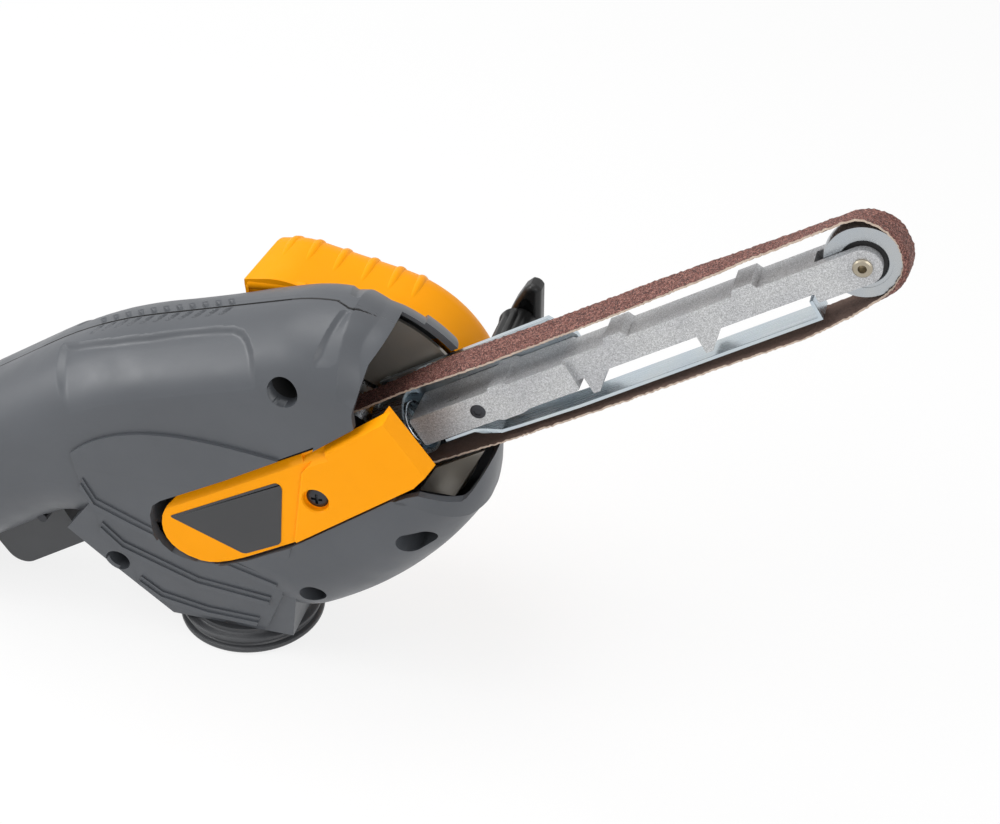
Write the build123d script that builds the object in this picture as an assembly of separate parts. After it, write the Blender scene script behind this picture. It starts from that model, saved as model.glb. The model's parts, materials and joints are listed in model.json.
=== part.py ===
from build123d import *
import math
import os

# Hand-held belt file: millimetres, +Z up, +X towards the belt's nose, +Y to the tool's left.
# The origin is the centre of the dust port's mouth, on the surface the tool rests on.

# Belt and the two wheels it runs on
BELT_WIDTH = 13.0
BELT_THICK = 1.2
BELT_CLEAR = 0.1
PULLEY_R = 14.5
PULLEY_WIDTH = 14.0
ROLLER_R = 13.5
ROLLER_WIDTH = 6.4
WHEEL_CROWN = 0.4
AXIS_DISTANCE = 220.0
ARM_PITCH = 32.33
DRIVE_X = 40.0
DRIVE_Z = 87.0

# Cast arm, in its own frame: a along the arm from the drive axis, w square to it
ARM_HALF = 6.5
ARM_TOP = 6.5
ARM_LOW = 3.0
BASE_HALF = 8.9
BASE_TOP = 6.1
BASE_LOW = 5.8
BASE_START = 41.2
BASE_END = 108.8
NOSE_START = 201.0
NOSE_R = 6.5
CHEEK_GAP = 0.3
TOP_LUG_STARTS = (124.7, 175.2)
TOP_LUG_LENGTH = 9.5
TOP_LUG_RISE = 2.3
TOP_LUG_RAMP = 1.2
FOOT_LUG_STARTS = (111.2, 156.6)
FOOT_LUG_LENGTH = 9.5
FOOT_LUG_FLAT = 2.7
FOOT_LUG_DROP = 7.0
TENSION_TRAVEL = 6.0
SLIDE_CLEAR = 0.3
RUN_CLEAR = 0.05

# Platen under the arm
PLATEN_THICK = 1.5
PLATEN_HALF = 5.2
PLATEN_FACE = 13.4
PLATEN_BELT_GAP = 2.6
PLATEN_TAB_START = 50.0
PLATEN_TAB_END = 70.0
PLATEN_RUN_START = 84.0
PLATEN_RUN_END = 199.0
PLATEN_LIP_TOP = 5.6
RIVET_A = 60.0
RIVET_R = 2.5
RIVET_HEAD_R = 4.5
RIVET_HEAD = 1.5

# Arm holder: spring sleeve and side plate
SLEEVE_R = 12.2
SLEEVE_BORE = 11.0
SLEEVE_START = 26.0
SLEEVE_END = 40.0
SLEEVE_FLOOR = 1.5
PLATE_THICK = 2.0
PLATE_START = 27.5
PLATE_TOP = 16.3
PLATE_LOW = 9.0
PLATE_END = 109.4
PLATE_CHAMFER = 6.6
PLATE_CHAMFER_W = 10.1
POST_A = 29.5
POST_W = 13.0
POST_R = 3.0
SPRING_R = 8.0
SPRING_WIRE = 1.4
SPRING_TURNS = 4

# Wing knob and its clamping screw
KNOB_A = 68.4
KNOB_SCREW_R = 2.5
KNOB_BASE_R = 9.5
KNOB_HUB_R = 7.5
KNOB_HUB_END = 48.0
KNOB_ROOM = 0.6
KNOB_WING_LENGTH = 18.5
KNOB_WING_HALF = 8.0
KNOB_WING_THICK = 8.0
KNOB_WING_CORNER_R = 5.0

# Nose axle
AXLE_R = 3.0
AXLE_HEAD_R = 3.8
AXLE_HEAD = 1.2
AXLE_SOCKET = 3.0
ROLLER_BEARING_R = 9.5

# Spindle, bevel pair and motor
SPINDLE_R = 4.0
GEAR_R_IN = 17.6
GEAR_R_OUT = 25.0
GEAR_RATIO = 2.0
GEAR_TEETH = 24
GEAR_BACK = 16.0
GEAR_GAP = 0.3
TOOTH_DEPTH = 1.3
MOTOR_PITCH = 5.0
BALL_BEARING_R = 11.0
BALL_BEARING_WIDTH = 7.0
REAR_BEARING_R = 9.5
REAR_BEARING_WIDTH = 6.0
FRONT_BEARING_M = 40.0
FAN_GAP = 3.5
FAN_R = 22.0
FAN_DEPTH = 9.0
FAN_BLADES = 9
COIL_GAP = 1.5
STATOR_LENGTH = 38.0
STATOR_R = 25.5
STATOR_BORE = 15.2
ARMATURE_R = 14.6
ARMATURE_SLOTS = 12
WINDING_LENGTH = 5.0
COMMUTATOR_GAP = 2.0
COMMUTATOR_R = 9.5
COMMUTATOR_LENGTH = 12.0
REAR_BEARING_GAP = 6.0
MOTOR_SHAFT_R = 4.0
BRUSH_WIDTH = 5.0
BRUSH_HEIGHT = 8.0
BRUSH_LENGTH = 11.0
HOLDER_WALL = 1.5
FAN_M = FRONT_BEARING_M + BALL_BEARING_WIDTH + FAN_GAP
STATOR_M = FAN_M + FAN_DEPTH + COIL_GAP + WINDING_LENGTH
COMMUTATOR_M = STATOR_M + STATOR_LENGTH + WINDING_LENGTH + COMMUTATOR_GAP
REAR_BEARING_M = COMMUTATOR_M + COMMUTATOR_LENGTH + REAR_BEARING_GAP

# Gear case on the left side of the head
CASE_FLANGE_R = 36.0
CASE_FLANGE = 4.5
CASE_TUBE_R = 15.0
CASE_TUBE_END = 43.0
CASE_BEARING_Y = 17.0
CASE_BEARING_FAR_Y = 34.0
CASE_SCREW_R = 1.6
CASE_SCREW_RING = 28.0
CASE_SCREW_HEAD_R = 2.8
CASE_SCREW_HEAD = 2.2
SHIELD_R = 50.0
SHIELD_BORE = 27.0
SHIELD_Y = 13.0
SHIELD_THICK = 1.5
SHIELD_BACK_X = 8.0

# Housing
WALL = 2.8
HALF_WIDTH = 29.0
EDGE_R = 26.0
HEAD_X = 43.0
HEAD_Z = 95.5
HEAD_R = 60.2
CROWN_TILT = 16.5
SPINE_BEND = 25.0
CHIN_TILT = 10.0
CHIN_MID = (71.5, 44.4)
CHIN_LOW = (31.0, 17.0)
GRIP_PITCH = 33.0
GRIP_X = -76.0
GRIP_Z = 77.5
GRIP_HALF = 31.0
GRIP_CORNER_R = 27.0
CHUTE_SIDE = ((29.3, 82.0), (28.5, 60.0), (26.0, 35.0), (22.5, 8.0))
CHUTE_BACK_X = -24.5
CHUTE_FRONT_X = 26.0
CHUTE_FLARE = 10.0
CHUTE_TOP = 75.0
GILL_RISE = 1.0
GILL_ARC = ((-55.7, 88.7), (-40.6, 98.9), (-20.8, 104.3), (4.0, 104.8), (34.0, 101.5))
GILL_END = ((31.9, 65.8), (29.0, 55.5), (24.5, 33.8), (16.1, 13.6))
GILL_BACK = ((-22.0, 12.5), (-36.0, 25.5), (-38.5, 43.5), (-48.1, 52.4), (-49.1, 64.0), (-53.3, 73.4))
RIB_RISE = 0.7
RIB_LINES = (
    ((-53.3, 73.4), (-49.1, 64.0), (-27.0, 54.0), (22.5, 38.3)),
    ((-48.1, 52.4), (-40.5, 43.5), (-11.0, 30.9), (18.2, 27.6)),
    ((-36.0, 25.5), (-28.0, 18.5), (-9.1, 14.5), (12.0, 14.0)),
)
RIB_STEPS = ((1.5, 4.6), (0.8, 2.3))
BULKHEAD_R = 34.0
BULKHEAD = 4.0
MOUTH_FAR_Y = 8.0

# Dust port
PORT_HEIGHT = 10.0
PORT_RIM_R = 29.2
PORT_RIM = 4.5
PORT_NECK_R = 25.5
PORT_BORE_R = 21.0
PORT_SPIGOT_R = 23.0
PORT_SPIGOT = 6.0

# Housing screws and their bosses
SCREW_SEATS = ((31.4, 132.9), (76.6, 71.2), (36.9, 37.3), (-44.2, 35.2), (-139.5, 57.7), (-145.9, 10.7))
BOSS_R = 7.0
FAR_BOSS_R = 6.0
CHUTE_SEAT = SCREW_SEATS[3]
CHUTE_BOSS_Y = 23.5
SEAT_BORE_R = 5.0
SEAT_FLOOR_Y = 9.0
SCREW_R = 2.0
SCREW_HEAD_R = 4.0
SCREW_HEAD = 2.6
SCREW_REACH = 14.0
HOLE_CLEAR = 0.05

# Belt cover on the right side
COVER_FACE_Y = 29.8
COVER_LABEL_Y = 28.4
COVER_BACK_Y = 26.4
COVER_GAP = 1.2
COVER_SCREW_X = 41.7
COVER_SCREW_Z = 86.4
COVER_SEAT_R = 4.6
COVER_BAR_HALF = 6.5
COVER_BAR_Y = 21.5
LABEL_THICK = 0.5

# Side handle on the left
HANDLE_R = 52.5
HANDLE_TILT = 78.0
HANDLE_TOP_X = 12.0
HANDLE_TOP_RISE = 7.0
HANDLE_END_Y = 62.0
HANDLE_START_Y = 19.0
HANDLE_WALL = 2.6
HANDLE_EDGE_R = 14.0
HANDLE_CREST_R = 27.0
HANDLE_BACK_X = -5.5
HANDLE_BACK_DROP = 3.0
HANDLE_BACK_LOW = 80.0
HANDLE_SCREWS = ((20.0, 110.0), (62.0, 66.0))
HANDLE_POST_R = 5.5

# Trigger, lock button, speed wheel and cord gland, in the grip's own frame
TRIGGER_FRONT = -18.0
TRIGGER_BACK = -58.0
TRIGGER_DEPTH = 48.0
TRIGGER_INNER = 24.0
TRIGGER_HALF = 9.0
TRIGGER_CORNER_R = 8.0
TRIGGER_PIVOT_S = -22.0
TRIGGER_PIVOT_T = -27.5
TRIGGER_PIN_R = 2.0
TRIGGER_SLOT_GAP = 1.0
TRIGGER_LIFT = 4.5
PIVOT_BOSS_R = 4.2
SWITCH_S = -48.0
SWITCH_LENGTH = 27.0
SWITCH_LOW = 17.0
SWITCH_HEIGHT = 15.0
SWITCH_HALF = 8.5
PLUNGER_R = 2.0
PLUNGER_DROP = 3.0
MODULE_S = -75.0
MODULE_LENGTH = 20.0
MODULE_LOW = 22.0
MODULE_HEIGHT = 16.0
MODULE_HALF = 11.0
RAIL_THICK = 2.0
RAIL_LOW = 13.0
RAIL_TOP = 6.0
BUTTON_S = -48.0
BUTTON_T = 0.0
BUTTON_R = 4.5
BUTTON_COLLAR_R = 6.0
BUTTON_PROUD = 3.0
BUTTON_STEM = 8.0
WHEEL_S = -84.0
WHEEL_T = 23.5
WHEEL_R = 10.5
WHEEL_WIDTH = 7.0
WHEEL_AXLE_R = 2.0
WHEEL_GAP = 0.8
GLAND_R = 9.0
GLAND_BORE_R = 3.8
GLAND_PROUD = 6.0
GLAND_COLLAR_R = 11.5
GLAND_COLLAR = 3.0

ARM = Plane(
    origin=(DRIVE_X, 0, DRIVE_Z),
    x_dir=(math.cos(math.radians(ARM_PITCH)), 0, math.sin(math.radians(ARM_PITCH))),
    z_dir=(0, -1, 0),
)
MOTOR = Plane(
    origin=(DRIVE_X, 0, DRIVE_Z),
    x_dir=(0, 1, 0),
    z_dir=(-math.cos(math.radians(MOTOR_PITCH)), 0, -math.sin(math.radians(MOTOR_PITCH))),
)
GRIP = Plane(
    origin=(GRIP_X, 0, GRIP_Z),
    x_dir=(math.cos(math.radians(GRIP_PITCH)), 0, math.sin(math.radians(GRIP_PITCH))),
    z_dir=(0, -1, 0),
)
LOW = (Align.CENTER, Align.CENTER, Align.MIN)


def slab(outline, y0, y1, plane=Plane.XZ):
    """Straight plate of an outline, between two distances across the tool."""
    return extrude(plane.offset(-y1) * outline, y1 - y0)


def polygon(*points):
    """Flat face with straight sides."""
    return make_face(Polyline(*points, close=True))


def rod(plane, start, end, radius, bore=0.0):
    """Round bar, or tube if it has a bore, along a plane's axis."""
    bar = Cylinder(radius, end - start, align=LOW)
    if bore:
        bar -= Cylinder(bore, end - start, align=LOW)
    return plane * Pos(0, 0, start) * bar


def across(x, z):
    """Plane whose axis runs across the tool, to its left."""
    return Plane(origin=(x, 0, z), x_dir=(1, 0, 0), z_dir=(0, 1, 0))


def cross_rod(x, z, y0, y1, radius, bore=0.0):
    """Round bar across the tool between two distances."""
    return rod(across(x, z), y0, y1, radius, bore)


def world_xz(plane, a, w):
    """Place in the tool's XZ plane of a point of a tilted frame."""
    point = plane.from_local_coords((a, w, 0))
    return point.X, point.Z


def block(plane, a0, a1, w0, w1, y0, y1):
    """Straight block in a tilted frame."""
    return slab(polygon((a0, w0), (a1, w0), (a1, w1), (a0, w1)), y0, y1, plane)


def wheel(radius, half, crown):
    """Belt wheel with a slightly crowned rim, on the across axis."""
    rim = make_face([
        Polyline((0, half), (0, -half), (radius - crown, -half)),
        ThreePointArc((radius - crown, -half), (radius, 0), (radius - crown, half)),
        Line((radius - crown, half), (0, half)),
    ])
    return revolve(rim, Axis.Y)


def ball_bearing(outer, inner, width):
    """Bearing rings with a shallow seal step on both faces."""
    body = Cylinder(outer, width) - Cylinder(inner, width)
    mid = (outer + inner) / 2
    land = (outer - inner) / 4
    step = Cylinder(mid + land, width) - Cylinder(mid - land, width)
    for side in (-1, 1):
        body -= Pos(0, 0, side * (width - 0.4)) * step
    return body


def belt_outline(growth):
    """Loop round pulley, roller and the platen's two edges, grown outwards."""
    edge_r = 2.0
    edge_w = -(PLATEN_FACE + PLATEN_BELT_GAP - BELT_CLEAR - edge_r)
    discs = (
        (0.0, 0.0, PULLEY_R),
        (PLATEN_RUN_START + edge_r, edge_w, edge_r),
        (PLATEN_RUN_END - edge_r, edge_w, edge_r),
        (AXIS_DISTANCE, 0.0, ROLLER_R),
    )
    entries = []
    exits = []
    for index, (a0, w0, r0) in enumerate(discs):
        a1, w1, r1 = discs[(index + 1) % len(discs)]
        gap = math.hypot(a1 - a0, w1 - w0)
        heading = math.atan2(w1 - w0, a1 - a0)
        lean = heading - math.pi / 2 + math.asin((r0 - r1) / gap)
        exits.append((a0 + (r0 + growth) * math.cos(lean), w0 + (r0 + growth) * math.sin(lean), lean))
        entries.append((a1 + (r1 + growth) * math.cos(lean), w1 + (r1 + growth) * math.sin(lean), lean))
    edges = []
    for index, (a0, w0, r0) in enumerate(discs):
        entry = entries[index - 1]
        leave = exits[index]
        sweep = (leave[2] - entry[2]) % (2 * math.pi)
        middle = entry[2] + sweep / 2
        top = (a0 + (r0 + growth) * math.cos(middle), w0 + (r0 + growth) * math.sin(middle))
        edges.append(ThreePointArc(entry[:2], top, leave[:2]))
        edges.append(Line(leave[:2], entries[index][:2]))
    return make_face(edges)


def sanding_belt():
    """Endless belt, stretched over both wheels and the platen."""
    loop = belt_outline(BELT_CLEAR + BELT_THICK) - belt_outline(BELT_CLEAR)
    return slab(loop, -BELT_WIDTH / 2, BELT_WIDTH / 2, ARM)


def arm():
    """Cast arm: slide base, long bar with lugs, forked nose."""
    base = block(ARM, BASE_START, BASE_END, -BASE_LOW, BASE_TOP, -BASE_HALF, BASE_HALF)
    base = chamfer(base.edges().filter_by(Axis.Y), 0.8)
    bar = block(ARM, BASE_END - 1, AXIS_DISTANCE, -ARM_LOW, ARM_TOP, -ARM_HALF, ARM_HALF)
    nose = block(ARM, NOSE_START, AXIS_DISTANCE, -NOSE_R, NOSE_R, -ARM_HALF, ARM_HALF)
    tip = ARM * Pos(AXIS_DISTANCE, 0, 0) * Cylinder(NOSE_R, 2 * ARM_HALF)
    body = base + bar + nose + tip
    for start in TOP_LUG_STARTS:
        lug = polygon(
            (start, ARM_TOP - 0.5),
            (start + TOP_LUG_LENGTH, ARM_TOP - 0.5),
            (start + TOP_LUG_LENGTH, ARM_TOP),
            (start + TOP_LUG_LENGTH - TOP_LUG_RAMP, ARM_TOP + TOP_LUG_RISE),
            (start + TOP_LUG_RAMP, ARM_TOP + TOP_LUG_RISE),
            (start, ARM_TOP),
        )
        body += slab(lug, -ARM_HALF, ARM_HALF, ARM)
    for start in FOOT_LUG_STARTS:
        lug = polygon(
            (start, -ARM_LOW + 0.5),
            (start + FOOT_LUG_LENGTH, -ARM_LOW + 0.5),
            (start + FOOT_LUG_LENGTH, -ARM_LOW),
            (start + FOOT_LUG_FLAT, -ARM_LOW - FOOT_LUG_DROP),
            (start, -ARM_LOW - FOOT_LUG_DROP),
        )
        body += slab(lug, -ARM_HALF, ARM_HALF, ARM)
    fork_half = ROLLER_WIDTH / 2 + CHEEK_GAP
    fork_start = AXIS_DISTANCE - ROLLER_R - 4 * CHEEK_GAP
    fork_end = AXIS_DISTANCE + NOSE_R + 1
    body -= block(ARM, fork_start, fork_end, -ROLLER_R, ROLLER_R, -fork_half, fork_half)
    body -= ARM * Pos(AXIS_DISTANCE, 0, 0) * Cylinder(AXLE_R, 4 * ARM_HALF)
    body -= ARM * Pos(KNOB_A, 0, 0) * Cylinder(KNOB_SCREW_R + RUN_CLEAR, 4 * BASE_HALF)
    rivet_hole = Cylinder(RIVET_R, 2 * BASE_LOW)
    body -= ARM * Pos(RIVET_A, -BASE_LOW, 0) * Rot(90, 0, 0) * rivet_hole
    return body


def platen():
    """Bent steel strip under the arm that backs the belt's lower run."""
    tab = -BASE_LOW
    run = -PLATEN_FACE + PLATEN_THICK
    strip = polygon(
        (PLATEN_TAB_START, tab),
        (PLATEN_TAB_END, tab),
        (PLATEN_RUN_START, run),
        (PLATEN_RUN_END - PLATEN_THICK, run),
        (PLATEN_RUN_END - PLATEN_THICK, -PLATEN_LIP_TOP),
        (PLATEN_RUN_END, -PLATEN_LIP_TOP),
        (PLATEN_RUN_END, run - PLATEN_THICK),
        (PLATEN_RUN_START - 0.5, run - PLATEN_THICK),
        (PLATEN_TAB_END - 0.5, tab - PLATEN_THICK),
        (PLATEN_TAB_START, tab - PLATEN_THICK),
    )
    body = slab(strip, -PLATEN_HALF, PLATEN_HALF, ARM)
    hole = Cylinder(RIVET_R, 4 * PLATEN_THICK)
    return body - ARM * Pos(RIVET_A, tab - PLATEN_THICK / 2, 0) * Rot(90, 0, 0) * hole


def platen_rivet():
    """Rivet that holds the platen to the arm's base."""
    seat = -BASE_LOW - PLATEN_THICK
    shank = Cylinder(RIVET_R, BASE_LOW - RUN_CLEAR + PLATEN_THICK, align=LOW)
    head = Cylinder(RIVET_HEAD_R, RIVET_HEAD, align=(Align.CENTER, Align.CENTER, Align.MAX))
    head = fillet(head.edges().sort_by(Axis.Z)[0], RIVET_HEAD * 0.6)
    return ARM * Pos(RIVET_A, seat, 0) * Rot(-90, 0, 0) * (shank + head)


def nose_roller():
    """Crowned roller ring at the nose."""
    ring = wheel(ROLLER_R, ROLLER_WIDTH / 2, WHEEL_CROWN) - Rot(90, 0, 0) * Cylinder(ROLLER_BEARING_R, 50)
    return Pos(*ARM.from_local_coords((AXIS_DISTANCE, 0, 0))) * ring


def roller_bearing():
    """Ball bearing pressed into the nose roller."""
    bearing = ball_bearing(ROLLER_BEARING_R, AXLE_R + RUN_CLEAR, ROLLER_WIDTH - 0.2)
    return ARM * Pos(AXIS_DISTANCE, 0, 0) * bearing


def nose_axle():
    """Socket screw that carries the nose roller between the cheeks."""
    shank = Cylinder(AXLE_R, 2 * ARM_HALF)
    head = Pos(0, 0, ARM_HALF) * Cylinder(AXLE_HEAD_R, AXLE_HEAD, align=LOW)
    nut = Pos(0, 0, -ARM_HALF - 2 * AXLE_HEAD) * extrude(RegularPolygon(AXLE_HEAD_R, 6), 2 * AXLE_HEAD)
    socket = Pos(0, 0, ARM_HALF - AXLE_HEAD) * extrude(RegularPolygon(AXLE_SOCKET / 2, 6), 4 * AXLE_HEAD)
    return ARM * Pos(AXIS_DISTANCE, 0, 0) * (shank + head + nut - socket)


def arm_holder():
    """Steel holder: spring sleeve welded to the side plate that guides the arm."""
    near = BASE_HALF + SLIDE_CLEAR
    plate = polygon(
        (PLATE_START, -POST_W - POST_R - 1),
        (SLEEVE_END, -POST_W - POST_R - 1),
        (SLEEVE_END + PLATE_LOW, -PLATE_LOW),
        (PLATE_END, -PLATE_LOW),
        (PLATE_END, PLATE_TOP - PLATE_CHAMFER_W),
        (PLATE_END - PLATE_CHAMFER, PLATE_TOP),
        (PLATE_START, PLATE_TOP),
    )
    body = slab(plate, near, near + PLATE_THICK, ARM)
    sleeve_plane = Plane(origin=ARM.from_local_coords((0, 0, 0)), x_dir=(0, 1, 0), z_dir=ARM.x_dir)
    body += rod(sleeve_plane, SLEEVE_START, SLEEVE_END, SLEEVE_R)
    body -= rod(sleeve_plane, SLEEVE_START + SLEEVE_FLOOR, SLEEVE_END + 1, SLEEVE_BORE)
    slot = SlotCenterToCenter(TENSION_TRAVEL, 2 * (KNOB_SCREW_R + SLIDE_CLEAR))
    body -= slab(Pos(KNOB_A - TENSION_TRAVEL / 2, 0) * slot, near - 1, near + PLATE_THICK + 1, ARM)
    for side in (-1, 1):
        body -= ARM * Pos(POST_A, side * POST_W, 0) * Cylinder(CASE_SCREW_R, 60)
    return body


def tension_spring():
    """Coil spring in the sleeve that pushes the arm forwards."""
    floor = SLEEVE_START + SLEEVE_FLOOR
    length = BASE_START - floor - SPRING_WIRE
    pitch = length / SPRING_TURNS
    coil = Helix(pitch, length, SPRING_R)
    section = Plane(origin=coil @ 0, z_dir=coil % 0) * Circle(SPRING_WIRE / 2)
    spring = sweep(section, path=coil)
    print("spring gap between turns:", round(pitch - SPRING_WIRE, 3))
    plane = Plane(origin=ARM.from_local_coords((0, 0, 0)), x_dir=(0, 1, 0), z_dir=ARM.x_dir)
    return plane * Pos(0, 0, floor + SPRING_WIRE / 2) * spring


def clamp_screw():
    """Screw of the wing knob, through the holder and the arm's base."""
    return ARM * Pos(KNOB_A, 0, -KNOB_HUB_END + 4) * Cylinder(
        KNOB_SCREW_R, KNOB_HUB_END - 4 + BASE_HALF - 0.6, align=LOW
    )


def wing_knob():
    """Moulded clamping knob with a single wing."""
    seat = BASE_HALF + SLIDE_CLEAR + PLATE_THICK + SLIDE_CLEAR
    x, z = world_xz(ARM, KNOB_A, 0)
    hub = cross_rod(x, z, seat, seat + 6, KNOB_BASE_R)
    hub += cross_rod(x, z, seat, KNOB_HUB_END, KNOB_HUB_R)
    wing = Pos(0, KNOB_WING_LENGTH / 2) * Rectangle(2 * KNOB_WING_HALF, KNOB_WING_LENGTH)
    wing = fillet(wing.vertices().sort_by(Axis.Y)[-2:], KNOB_WING_CORNER_R) + Circle(KNOB_WING_HALF)
    body = hub + Pos(x, 0, z) * slab(wing, KNOB_HUB_END, KNOB_HUB_END + KNOB_WING_THICK)
    return body - cross_rod(x, z, 0, KNOB_HUB_END - 4, KNOB_SCREW_R)


def spindle():
    """Drive spindle across the head."""
    return cross_rod(DRIVE_X, DRIVE_Z, -PULLEY_WIDTH / 2, CASE_BEARING_FAR_Y + BALL_BEARING_WIDTH, SPINDLE_R)


def drive_pulley():
    """Crowned pulley that drives the belt."""
    body = wheel(PULLEY_R, PULLEY_WIDTH / 2, WHEEL_CROWN) - Rot(90, 0, 0) * Cylinder(SPINDLE_R, 50)
    return Pos(DRIVE_X, 0, DRIVE_Z) * body


def pulley_cap():
    """Screw cap that keeps the pulley on the spindle."""
    half = PULLEY_WIDTH / 2
    cap = cross_rod(DRIVE_X, DRIVE_Z, -half - 2.5, -half, 2 * SPINDLE_R)
    slot = Pos(DRIVE_X, -half - 2.5, DRIVE_Z) * Box(3 * SPINDLE_R, 2, 1.4)
    return cap - slot


def bevel_gear():
    """Crown gear on the spindle, with radial tooth gaps."""
    half = PULLEY_WIDTH / 2
    face = polygon(
        (SPINDLE_R, half),
        (SPINDLE_R + 6, half),
        (GEAR_R_IN - 3, GEAR_R_IN / GEAR_RATIO + GEAR_GAP + 3),
        (GEAR_R_IN, GEAR_R_IN / GEAR_RATIO + GEAR_GAP),
        (GEAR_R_OUT, GEAR_R_OUT / GEAR_RATIO + GEAR_GAP),
        (GEAR_R_OUT, GEAR_BACK - 1),
        (SPINDLE_R + 6, GEAR_BACK),
        (SPINDLE_R, GEAR_BACK),
    )
    body = revolve(face, Axis.Y)
    span = GEAR_R_OUT - GEAR_R_IN
    lean = math.degrees(math.atan(1 / GEAR_RATIO))
    gap = Pos(GEAR_R_IN + span / 2, (GEAR_R_IN + span / 2) / GEAR_RATIO + GEAR_GAP, 0)
    notch = gap * Rot(0, 0, lean) * Box(2 * span, 2 * TOOTH_DEPTH, 2.2)
    for tooth in range(GEAR_TEETH):
        body -= Rot(0, tooth * 360 / GEAR_TEETH, 0) * notch
    return Pos(DRIVE_X, 0, DRIVE_Z) * body


def bevel_pinion():
    """Pinion on the motor shaft, with tooth gaps."""
    count = round(GEAR_TEETH / GEAR_RATIO)
    start = GEAR_R_IN
    end = GEAR_R_OUT
    face = polygon(
        (MOTOR_SHAFT_R, start),
        (start / GEAR_RATIO - GEAR_GAP, start),
        (end / GEAR_RATIO - GEAR_GAP, end),
        (MOTOR_SHAFT_R, end),
    )
    body = revolve(Plane.XZ * face, Axis.Z)
    middle = (start + end) / 2
    lean = math.degrees(math.atan(1 / GEAR_RATIO))
    place = Pos(middle / GEAR_RATIO - GEAR_GAP, 0, middle)
    notch = place * Rot(0, lean, 0) * Box(2 * TOOTH_DEPTH, 2.0, 3 * (end - start))
    for tooth in range(count):
        body -= Rot(0, 0, (tooth + 0.5) * 360 / count) * notch
    return MOTOR * body


def motor_shaft():
    """Armature shaft, from the pinion to the rear bearing."""
    end = REAR_BEARING_M + REAR_BEARING_WIDTH
    return rod(MOTOR, GEAR_R_IN, end, MOTOR_SHAFT_R)


def armature_core():
    """Slotted armature stack."""
    body = rod(MOTOR, STATOR_M, STATOR_M + STATOR_LENGTH, ARMATURE_R, MOTOR_SHAFT_R)
    for slot in range(ARMATURE_SLOTS):
        cut = Pos(ARMATURE_R, 0, STATOR_M + STATOR_LENGTH / 2) * Box(5, 1.6, 2 * STATOR_LENGTH)
        body -= MOTOR * Rot(0, 0, slot * 360 / ARMATURE_SLOTS) * cut
    return body


def armature_windings():
    """End turns of the armature, one ring at each end of the stack."""
    inner = MOTOR_SHAFT_R + 1.5
    front = rod(MOTOR, STATOR_M - WINDING_LENGTH, STATOR_M, ARMATURE_R - 2, inner)
    end = STATOR_M + STATOR_LENGTH
    rear = rod(MOTOR, end, end + WINDING_LENGTH, ARMATURE_R - 2, inner)
    return Compound([front, rear])


def commutator():
    """Copper commutator with segment slits."""
    body = rod(MOTOR, COMMUTATOR_M, COMMUTATOR_M + COMMUTATOR_LENGTH, COMMUTATOR_R, MOTOR_SHAFT_R)
    for slit in range(2 * ARMATURE_SLOTS):
        cut = Pos(COMMUTATOR_R, 0, COMMUTATOR_M + COMMUTATOR_LENGTH / 2)
        blade = cut * Box(1.2, 0.5, 2 * COMMUTATOR_LENGTH)
        body -= MOTOR * Rot(0, 0, slit * 180 / ARMATURE_SLOTS) * blade
    return body


def cooling_fan():
    """Radial fan in front of the stator."""
    body = rod(MOTOR, FAN_M, FAN_M + 1.5, FAN_R, MOTOR_SHAFT_R)
    body += rod(MOTOR, FAN_M, FAN_M + FAN_DEPTH, MOTOR_SHAFT_R + 5, MOTOR_SHAFT_R)
    blade_length = FAN_R - MOTOR_SHAFT_R - 5
    for index in range(FAN_BLADES):
        middle = Pos(FAN_R - blade_length / 2 - 0.5, 0, FAN_M + FAN_DEPTH / 2)
        blade = middle * Box(blade_length, 1.4, FAN_DEPTH)
        body += MOTOR * Rot(0, 0, index * 360 / FAN_BLADES) * blade
    return body


def motor_stator():
    """Laminated field stack."""
    return rod(MOTOR, STATOR_M, STATOR_M + STATOR_LENGTH, STATOR_R, STATOR_BORE)


def field_windings():
    """End turns of the field coils, one ring at each end of the stack."""
    outer = STATOR_R - 2
    front = rod(MOTOR, STATOR_M - WINDING_LENGTH, STATOR_M, outer, STATOR_BORE + 1)
    end = STATOR_M + STATOR_LENGTH
    rear = rod(MOTOR, end, end + WINDING_LENGTH, outer, STATOR_BORE + 1)
    return Compound([front, rear])


def brush_holder(side):
    """Square brass tube from the housing wall to the commutator."""
    inner = COMMUTATOR_R + 1
    outer = HALF_WIDTH - WALL
    middle = Pos(side * (inner + outer) / 2, 0, COMMUTATOR_M + COMMUTATOR_LENGTH / 2)
    shell = Box(outer - inner, BRUSH_WIDTH + 2 * HOLDER_WALL, BRUSH_HEIGHT + 2 * HOLDER_WALL)
    hollow = Box(outer, BRUSH_WIDTH + 2 * RUN_CLEAR, BRUSH_HEIGHT + 2 * RUN_CLEAR)
    return MOTOR * middle * (shell - hollow)


def carbon_brush(side):
    """Brush that runs on the commutator."""
    inner = COMMUTATOR_R + RUN_CLEAR
    middle = Pos(side * (inner + BRUSH_LENGTH / 2), 0, COMMUTATOR_M + COMMUTATOR_LENGTH / 2)
    return MOTOR * middle * Box(BRUSH_LENGTH, BRUSH_WIDTH, BRUSH_HEIGHT)


def shaft_bearing(start, outer, width):
    """Bearing of the motor shaft."""
    return MOTOR * Pos(0, 0, start + width / 2) * ball_bearing(outer, MOTOR_SHAFT_R + RUN_CLEAR, width)


def spindle_bearing(start):
    """Bearing of the spindle in the gear case."""
    width = BALL_BEARING_WIDTH
    bearing = ball_bearing(BALL_BEARING_R, SPINDLE_R + RUN_CLEAR, width)
    return across(DRIVE_X, DRIVE_Z) * Pos(0, 0, start + width / 2) * bearing


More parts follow.
